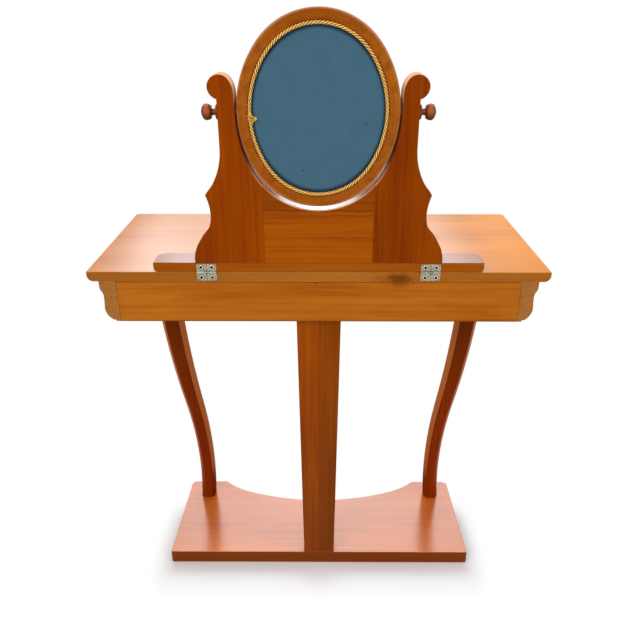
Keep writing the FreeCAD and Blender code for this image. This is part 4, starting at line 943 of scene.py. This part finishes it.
def end_tree(tree, geometry, material, smooth=True):
    """Close a geometry tree: real mesh, smooth or faceted, with its material."""
    real = shape(tree, "RealizeInstances", {"Geometry": geometry})
    shaped = shape(tree, "SetShadeSmooth", {"Geometry": real, "Shade Smooth": smooth})
    painted = shape(tree, "SetMaterial", {"Geometry": shaped, "Material": material})
    add(tree, "NodeGroupOutput", {"Geometry": painted})
    return tree


def evaluated_mesh(holder):
    """A plain mesh of what an object's curve or modifiers make."""
    bpy.context.scene.collection.objects.link(holder)
    bpy.context.view_layer.update()
    return bpy.data.meshes.new_from_object(holder.evaluated_get(bpy.context.evaluated_depsgraph_get()))


def grow(name, mesh, tree, values):
    """Run a geometry tree on a mesh once, and keep the plain mesh that it makes."""
    carrier = bpy.data.objects.new(name, mesh)
    modifier = carrier.modifiers.new("Grow", "NODES")
    modifier.node_group = tree
    for item in tree.interface.items_tree:
        if item.in_out == "INPUT" and item.name in values:
            modifier[item.identifier] = values[item.name]
    made = evaluated_mesh(carrier)
    made.name = name
    carrier.modifiers.clear()
    carrier.data = made
    return carrier


def smooth_path(name, points, closed):
    """A mesh of edges along the smooth curve that a few points draw on."""
    curve = bpy.data.curves.new(name, "CURVE")
    curve.dimensions = "3D"
    curve.resolution_u = 16
    spline = curve.splines.new("NURBS")
    spline.points.add(len(points) - 1)
    for knot, point in zip(spline.points, points):
        knot.co = (*point, 1.0)
    spline.use_cyclic_u = closed
    spline.use_endpoint_u = not closed
    spline.order_u = 3
    holder = bpy.data.objects.new(name, curve)
    mesh = evaluated_mesh(holder)
    bpy.data.objects.remove(holder)
    return mesh


def point_mesh(name, points, turns=None):
    """Loose points that a geometry tree sets things on; each may have its own turn."""
    mesh = bpy.data.meshes.new(name)
    mesh.from_pydata(points, [], [])
    if turns:
        mesh.attributes.new(PLACE_TURN, "FLOAT", "POINT").data.foreach_set("value", turns)
    return mesh


# Cord

def cord_path(sizes):
    """The cord's middle line round the oval.

    The oval's ends are arcs of one radius and its sides arcs of a longer one, which meet where both face the
    same way. A smooth curve on the corners of straight runs that just touch these arcs follows the oval. The
    cord lies as far in and as far out as its solid does.
    """
    low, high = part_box("gold_cord")
    bar = sizes.lay_radius + sizes.strand_radius
    middle = (low + high) / 2
    middle.y = low.y + bar
    across = (high.x - low.x) / 2 - bar
    end = across - sizes.shoulder
    rise = (high.z - low.z) / 2 - bar - end
    side = (across ** 2 + rise ** 2 - end ** 2) / (2 * sizes.shoulder)
    joint = math.atan2(rise, side - across)
    outside = 1 / math.cos(math.pi / sizes.corners)
    points = []
    for number in range(sizes.corners):
        angle = 2 * math.pi * number / sizes.corners
        outward = Vector((math.cos(angle), 0.0, math.sin(angle)))
        if abs(outward.z) < math.sin(joint):
            centre = Vector((math.copysign(side - across, -outward.x), 0.0, 0.0))
            radius = side
        else:
            centre = Vector((0.0, 0.0, math.copysign(rise, outward.z)))
            radius = end
        points.append(middle + centre + outside * radius * outward)
    return smooth_path("cord_path", points, True)


def strand_tree(material):
    """Strands that twist round a path, each with its length and its way round kept for the finish."""
    tree, given = geometry_tree("TwistedStrands", ("Turns", "Lay Radius", "Strand Radius"),
                                ("Strands", "Rings", "Sides"))
    path = shape(tree, "MeshToCurve", {"Mesh": given["Geometry"]})
    even = shape(tree, "ResampleCurve", {"Curve": path, "Count": given["Rings"]})
    copies = add(tree, "GeometryNodeDuplicateElements", {"Geometry": even, "Amount": given["Strands"]},
                 domain="SPLINE").outputs
    along = add(tree, "GeometryNodeSplineParameter").outputs
    phase = maths(tree, "DIVIDE", copies["Duplicate Index"], given["Strands"])
    wound = maths(tree, "SUBTRACT", phase, times(tree, along["Factor"], given["Turns"]))
    angle = times(tree, wound, 2 * math.pi)
    normal = shape(tree, "InputNormal")
    side = vector_maths(tree, "CROSS_PRODUCT", shape(tree, "InputTangent"), normal)
    shifts = [scaled(tree, way, times(tree, maths(tree, wave, angle), given["Lay Radius"]))
              for way, wave in ((normal, "COSINE"), (side, "SINE"))]
    kept = remember(tree, copies["Geometry"], STRAND_ALONG, along["Length"])
    laid = shape(tree, "SetPosition", {"Geometry": kept, "Offset": vector_maths(tree, "ADD", *shifts)})
    around = add(tree, "GeometryNodeSplineParameter").outputs["Factor"]
    section = remember(tree, circle(tree, given["Sides"], given["Strand Radius"]), STRAND_AROUND, around)
    tubes = shape(tree, "CurveToMesh", {"Curve": laid, "Profile Curve": section, "Fill Caps": True})
    from_path = add(tree, "GeometryNodeProximity", {0: given["Geometry"]}, target_element="EDGES")
    widest = maths(tree, "ADD", given["Lay Radius"], given["Strand Radius"])
    reach = maths(tree, "DIVIDE", from_path.outputs["Distance"], widest)
    return end_tree(tree, remember(tree, tubes, STRAND_REACH, reach), material)


def gold_thread(name):
    """Glossy gold threads that wind round each strand, with painted shade in the clefts between the strands.
    """
    material, tree, shader = new_material(name)
    along, around, reach = (add(tree, "ShaderNodeAttribute", attribute_name=kept).outputs["Fac"]
                            for kept in (STRAND_ALONG, STRAND_AROUND, STRAND_REACH))
    wound = maths(tree, "ADD", times(tree, around, THREAD_STARTS), times(tree, along, THREAD_WINDINGS))
    ridge = maths(tree, "ABSOLUTE", maths(tree, "SINE", times(tree, wound, math.pi)))
    uneven = noise(tree, spot_of(material), 260.0, detail=3.0)
    lit = maths(tree, "MULTIPLY", ridge, maths(tree, "MULTIPLY_ADD", uneven, 0.7, 0.55), clamp=True)
    trim = looks().trim
    thread = mix_colours(tree, lit, trim.cord_shade, trim.cord_gold)
    # Painted shade in the clefts, where the surface lies close to the cord's middle.
    fill(tree, shader, {
        "Base Color": mix_colours(tree, between(tree, reach, 0.72, 0.83), trim.cord_cleft_shade, thread),
        "Roughness": 0.42, "Metallic": 0.25, "Specular IOR Level": 0.2,
        "Specular Tint": (1.0, 0.70, 0.30, 1.0)})
    raise_surface(tree, shader, ridge, depth=0.00015)
    return material


class DRESSING_OT_gold_cord(Operator):
    """Lay the twisted gold cord round the mirror's back"""

    bl_idname = "dressing_table.gold_cord"
    bl_label = "Gold cord"

    def execute(self, context):
        sizes = looks().cord
        cord = grow("twisted_gold_cord", cord_path(sizes), strand_tree(gold_thread("cord_thread")), {
            "Strands": sizes.strands, "Turns": float(sizes.turns),
            "Rings": sizes.turns * sizes.steps_per_turn, "Sides": sizes.strand_sides,
            "Lay Radius": sizes.lay_radius, "Strand Radius": sizes.strand_radius})
        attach(cord, "mirror")
        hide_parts("gold_cord")
        return {"FINISHED"}


class DRESSING_OT_knot(Operator):
    """Tie the cord's ends: two wraps round the cord and a loop with a tight bead at its corner"""

    bl_idname = "dressing_table.knot"
    bl_label = "Knot"

    def execute(self, context):
        low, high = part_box("cord_knot")
        corner = Vector((low.x + KNOT_CORNER, (low.y + high.y) / 2, high.z - KNOT_DROP))
        on_cord = [vertex.co.copy() for vertex in cord_path(looks().cord).vertices if vertex.co.x > 0.0]

        def cord_at(rise):
            """The point of the cord that lies so far above the corner."""
            return min(on_cord, key=lambda point: abs(point.z - corner.z - rise))

        loop = [cord_at(0.0135), cord_at(0.0095) + KNOT_PROUD, (cord_at(0.006) + corner) / 2 + 2 * KNOT_PROUD,
                corner + Vector((0.0012, 0.0, 0.0016)), corner + Vector((-0.0012, 0.0, 0.0)),
                corner + Vector((0.0014, 0.0, -0.0026)), (cord_at(-0.0075) + corner) / 2 + KNOT_PROUD,
                cord_at(-0.0115) + KNOT_PROUD, cord_at(-0.0145)]
        lays = [(smooth_path("knot_loop_path", loop, False), KNOT_LOOP_LAY)]
        lays += [(self.ring(cord_at(rise), *KNOT_WRAP_REACH), KNOT_WRAP_LAY) for rise in KNOT_WRAP_RISES]
        lays += [(self.ring(corner + Vector((0.0, 0.0, rise)), *KNOT_BEAD_REACH), KNOT_BEAD_LAY)
                 for rise in KNOT_BEAD_RISES]
        thread = strand_tree(gold_thread("knot_thread"))
        parts = []
        for path, (turns, rings, lay_radius, strand_radius) in lays:
            parts.append(grow("knot_part", path, thread, {
                "Strands": 2, "Turns": turns, "Rings": rings, "Sides": 8, "Lay Radius": lay_radius,
                "Strand Radius": strand_radius}))
        knot = self.merge("tied_knot", parts)
        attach(knot, "mirror")
        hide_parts("cord_knot")
        return {"FINISHED"}

    def ring(self, middle, across, out):
        """A level turn round a point."""
        corners = 8
        points = [middle + Vector((across * math.cos(turn), out * math.sin(turn), 0.0))
                  for turn in (2 * math.pi * number / corners for number in range(corners))]
        return smooth_path("knot_ring_path", points, True)

    def merge(self, name, parts):
        """One object from several that share a finish."""
        with bpy.context.temp_override(active_object=parts[0], selected_editable_objects=parts):
            bpy.ops.object.join()
        parts[0].name = name
        return parts[0]


# Hinges

def hinge_level():
    """The height of the hinges' pins."""
    low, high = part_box("left_hinge_pin")
    return (low.z + high.z) / 2


def screw_tree(material):
    """Countersunk screws with a slot, set on points, heads towards +Y and slots turned at random."""
    tree, given = geometry_tree("SlottedScrews", ("Head Radius", "Head Height", "Shank Radius",
                                                  "Shank Length", "Slot Width", "Slot Depth"), ("Seed",))
    head = shape(tree, "MeshCone", {"Vertices": 24, "Radius Top": given["Head Radius"],
                                    "Radius Bottom": given["Shank Radius"], "Depth": given["Head Height"]})
    # What cuts the slot is longer than the head is wide, and stands half out of it.
    slot_size = combine(tree, given["Slot Width"], times(tree, given["Head Radius"], 3.0),
                        times(tree, given["Slot Depth"], 2.0))
    slot = shape(tree, "Transform", {"Geometry": shape(tree, "MeshCube", {"Size": slot_size}),
                                     "Translation": combine(tree, z=given["Head Height"])})
    slotted = shape(tree, "MeshBoolean", {"Mesh 1": head, "Mesh 2": slot}, operation="DIFFERENCE",
                    solver="EXACT")
    shank = shape(tree, "MeshCone", {"Vertices": 16, "Radius Top": given["Shank Radius"],
                                     "Radius Bottom": times(tree, given["Shank Radius"], 0.3),
                                     "Depth": given["Shank Length"]})
    drop = combine(tree, z=times(tree, given["Shank Length"], -1.0))
    shank = shape(tree, "Transform", {"Geometry": shank, "Translation": drop})
    both = add(tree, "GeometryNodeJoinGeometry")
    for part in (slotted, shank):
        tree.links.new(part, both.inputs[0])
    screw = shape(tree, "Transform", {"Geometry": both.outputs[0], "Rotation": (math.radians(-90), 0.0, 0.0)})
    spread = add(tree, "FunctionNodeRandomValue", {"Seed": given["Seed"]}, data_type="FLOAT")
    turn = next(socket for socket in spread.outputs if socket.enabled)
    placed = set_on_points(tree, given["Geometry"], screw, times(tree, turn, math.pi))
    return end_tree(tree, placed, material, smooth=False)


def boss_tree(material):
    """Rounded rings set on points, facing +Y."""
    tree, given = geometry_tree("RaisedRings", ("Ring Radius", "Bead Radius"))
    ring = shape(tree, "CurveToMesh", {"Curve": circle(tree, 28, given["Ring Radius"]),
                                       "Profile Curve": circle(tree, 10, given["Bead Radius"])})
    upright = shape(tree, "Transform", {"Geometry": ring, "Rotation": (math.radians(90), 0.0, 0.0)})
    return end_tree(tree, set_on_points(tree, given["Geometry"], upright), material)


def petal_tree(material):
    """Flat oval swellings set on points, each turned in its leaf by the point's own turn."""
    tree, given = geometry_tree("RaisedPetals", ("Long", "High", "Wide"))
    ball = shape(tree, "MeshUVSphere", {"Segments": 20, "Rings": 12, "Radius": 1.0})
    size = combine(tree, given["Long"], given["High"], given["Wide"])
    petal = shape(tree, "Transform", {"Geometry": ball, "Scale": size})
    turn = shape(tree, "InputNamedAttribute", {"Name": PLACE_TURN}, data_type="FLOAT")
    return end_tree(tree, set_on_points(tree, given["Geometry"], petal, turn), material)


class DRESSING_OT_hinges(Operator):
    """Plate the butt hinges, and set their screws, rings and petals"""

    bl_idname = "dressing_table.hinges"
    bl_label = "Hinges"

    def execute(self, context):
        sizes = looks().hinges
        nickel = nickel_material(sizes)
        pin = metal("hinge_steel", looks().trim.steel, 0.3)
        for side in SIDES:
            finish(f"{side}_hinge_table_leaf", nickel)
            finish(f"{side}_hinge_stand_leaf", nickel)
            finish(f"{side}_hinge_pin", pin)
        screws = screw_tree(metal("screw_iron", looks().trim.old_iron, 0.40))
        bosses = boss_tree(nickel)
        petals = petal_tree(nickel)
        # The seed for a body's screws, and which way its leaves lie from the pins.
        for seed, body, rise in ((1, "table", -1), (2, "stand", 1)):
            node = f"hinge_{body}_screws"
            low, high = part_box(node)
            face = high.y
            level = (low.z + high.z) / 2
            petal_level = hinge_level() + rise * sizes.petal_place
            heads, rims, swellings, turns = [], [], [], []
            for side, way in itertools.product(SIDES, (-1, 1)):
                leaf_low, leaf_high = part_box(f"{side}_hinge_{body}_leaf")
                middle = (leaf_low.x + leaf_high.x) / 2
                across = middle + way * sizes.screw_spacing / 2
                heads.append((across, face - sizes.head_height, level))
                rims.append((across, face, level))
                swellings.append((middle + way * sizes.petal_place, face, petal_level))
                turns.append(-rise * way * math.radians(45))
            screw = grow(f"slotted_{node}", point_mesh(f"{node}_places", heads), screws, {
                "Head Radius": sizes.head_radius, "Head Height": sizes.head_height,
                "Shank Radius": sizes.shank_radius, "Shank Length": sizes.shank_length,
                "Slot Width": sizes.slot_width, "Slot Depth": sizes.slot_depth, "Seed": seed})
            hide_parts(node)
            ring = grow(f"hinge_{body}_rings", point_mesh(f"{body}_rim_places", rims), bosses, {
                "Ring Radius": sizes.boss_radius, "Bead Radius": sizes.boss_bead})
            petal_places = point_mesh(f"{body}_petal_places", swellings, turns)
            petal = grow(f"hinge_{body}_petals", petal_places, petals, {
                "Long": sizes.petal_long, "High": sizes.petal_high, "Wide": sizes.petal_wide})
            for piece in (screw, ring, petal):
                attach(piece, body)
        return {"FINISHED"}


# Stage

WHITE = (1.0, 1.0, 1.0, 1.0)
# Width of the camera's sensor, in millimetres.
SENSOR_WIDTH = 36.0
# Each soft box: where it hangs, what it looks at, its width and height, its watts and how far it spreads.
LAMPS = (
    ("key_lamp", (1.5, 2.3, 2.2), (0.0, 0.1, 1.05), 1.6, 1.6, 9.0, math.radians(80)),
    ("fill_lamp", (-1.9, 1.7, 1.4), (0.0, 0.1, 1.0), 1.6, 1.6, 4.7, math.radians(80)),
    ("far_lamp", (0.0, -1.75, 1.88), (0.0, 0.0, 0.4), 2.0, 0.9, 20.0, math.radians(180)),
    ("edge_lamp", (0.0, -1.75, 1.42), (0.0, 0.17, 0.91), 0.8, 0.3, 1.0, math.radians(180)),
    ("sheen_lamp", (0.98, -1.75, 1.56), (0.35, 0.15, 0.785), 0.6, 0.24, 0.040, math.radians(40)),
    ("top_lamp", (0.0, -0.2, 3.0), (0.0, 0.0, 0.0), 2.0, 1.6, 30.0, math.radians(180)),
)


def floor_material(stage):
    """Pale floor that keeps the shadow near the table and runs out to white."""
    material, tree, shader = new_material("pale_floor")
    low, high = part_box("base_board")
    low.y = (low.y + high.y) / 2
    from_middle = vector_maths(tree, "SUBTRACT", spot_of(material), (low + high) / 2)
    beyond = vector_maths(tree, "SUBTRACT", vector_maths(tree, "ABSOLUTE", from_middle), (high - low) / 2)
    outside = vector_maths(tree, "MAXIMUM", beyond, (0.0, 0.0, 0.0))
    reach = magnitude(tree, vector_maths(tree, "MULTIPLY", outside, (2.0, 1.0, 1.0)))
    rays = add(tree, "ShaderNodeLightPath").outputs
    seen = maths(tree, "ADD", rays["Is Camera Ray"], rays["Is Glossy Ray"], clamp=True)
    share = times(tree, between(tree, reach, 0.0, stage.shadow_reach), seen)
    fill(tree, shader, {"Base Color": (*stage.floor_colour, 1.0), "Roughness": 0.6,
                        "Specular IOR Level": 0.1})
    white = add(tree, "ShaderNodeEmission", {"Color": WHITE, "Strength": 1.0})
    mixed = add(tree, "ShaderNodeMixShader", {0: share, 1: shader.outputs[0], 2: white.outputs[0]})
    tree.links.new(mixed.outputs[0], tree.nodes["Material Output"].inputs["Surface"])
    return material


class DRESSING_OT_stage(Operator):
    """Lay the floor, hang the lamps and set up the camera"""

    bl_idname = "dressing_table.stage"
    bl_label = "Stage"

    def execute(self, context):
        stage = looks().stage
        self.lay_floor(stage)
        self.light_world(stage)
        for lamp in LAMPS:
            self.hang_lamp(*lamp)
        camera_data = bpy.data.cameras.new("photo_camera")
        camera_data.sensor_width = SENSOR_WIDTH
        camera_data.lens = stage.camera_lens
        camera = self.place("photo_camera", camera_data)
        camera.location = stage.camera_place
        camera.rotation_euler = Euler(stage.camera_turn)
        context.scene.camera = camera
        context.scene.view_settings.view_transform = "Standard"
        return {"FINISHED"}

    def place(self, name, data):
        """A new object in the scene."""
        thing = bpy.data.objects.new(name, data)
        bpy.context.scene.collection.objects.link(thing)
        return thing

    def lay_floor(self, stage):
        """A wide square of floor, which is no part of the table."""
        reach = stage.floor_reach
        corners = [(-reach, -reach, 0.0), (reach, -reach, 0.0), (reach, reach, 0.0), (-reach, reach, 0.0)]
        mesh = bpy.data.meshes.new("floor")
        mesh.from_pydata(corners, [], [(0, 1, 2, 3)])
        mesh.materials.append(floor_material(stage))
        floor = self.place("floor", mesh)

    def light_world(self, stage):
        """White all round for the camera and for reflections, and a softer light on the table."""
        world = bpy.data.worlds.new("studio")
        bpy.context.scene.world = world
        world.use_nodes = True
        tree = world.node_tree
        tree.nodes.clear()
        rays = add(tree, "ShaderNodeLightPath").outputs
        seen = maths(tree, "ADD", rays["Is Camera Ray"], rays["Is Glossy Ray"])
        seen = maths(tree, "ADD", seen, rays["Is Transmission Ray"], clamp=True)
        soft = add(tree, "ShaderNodeBackground", {"Color": WHITE, "Strength": stage.ambient})
        white = add(tree, "ShaderNodeBackground", {"Color": WHITE, "Strength": 1.0})
        both = add(tree, "ShaderNodeMixShader", {0: seen, 1: soft.outputs[0], 2: white.outputs[0]})
        add(tree, "ShaderNodeOutputWorld", {"Surface": both.outputs[0]})

    def hang_lamp(self, name, spot, target, wide, tall, power, spread):
        """A soft box that looks at a point."""
        lamp = bpy.data.lights.new(name, "AREA")
        lamp.shape = "RECTANGLE"
        lamp.size = wide
        lamp.size_y = tall
        lamp.energy = power
        lamp.spread = spread
        holder = self.place(name, lamp)
        holder.location = spot
        holder.rotation_euler = (Vector(target) - Vector(spot)).to_track_quat("-Z", "Y").to_euler()


PIECES = (DRESSING_OT_table_boards, DRESSING_OT_frieze, DRESSING_OT_legs, DRESSING_OT_drawer,
          DRESSING_OT_knobs, DRESSING_OT_mirror_stand, DRESSING_OT_mirror, DRESSING_OT_gold_cord,
          DRESSING_OT_knot, DRESSING_OT_hinges, DRESSING_OT_stage)


class DRESSING_PT_sidebar(Panel):
    """The steps that dress the table, in order"""

    bl_idname = "DRESSING_PT_sidebar"
    bl_label = "Dressing Table"
    bl_space_type = "VIEW_3D"
    bl_region_type = "UI"
    bl_category = "Dressing Table"

    def draw(self, context):
        for piece in PIECES:
            self.layout.operator(piece.bl_idname)


CLASSES = (WoodColours, TrimLooks, CordSizes, HingeSizes, StageLooks, TableLooks, *PIECES,
           DRESSING_PT_sidebar)


def register():
    """Make the settings, the steps and the panel known."""
    for kind in CLASSES:
        bpy.utils.register_class(kind)
    bpy.types.Scene.dressing_table = PointerProperty(type=TableLooks)


def unregister():
    """Take them away again."""
    del bpy.types.Scene.dressing_table
    for kind in reversed(CLASSES):
        bpy.utils.unregister_class(kind)


def main():
    """Dress the table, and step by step."""
    register()
    for piece in PIECES:
        family, name = piece.bl_idname.split(".")
        getattr(getattr(bpy.ops, family), name)()


if __name__ == "__main__":
    main()
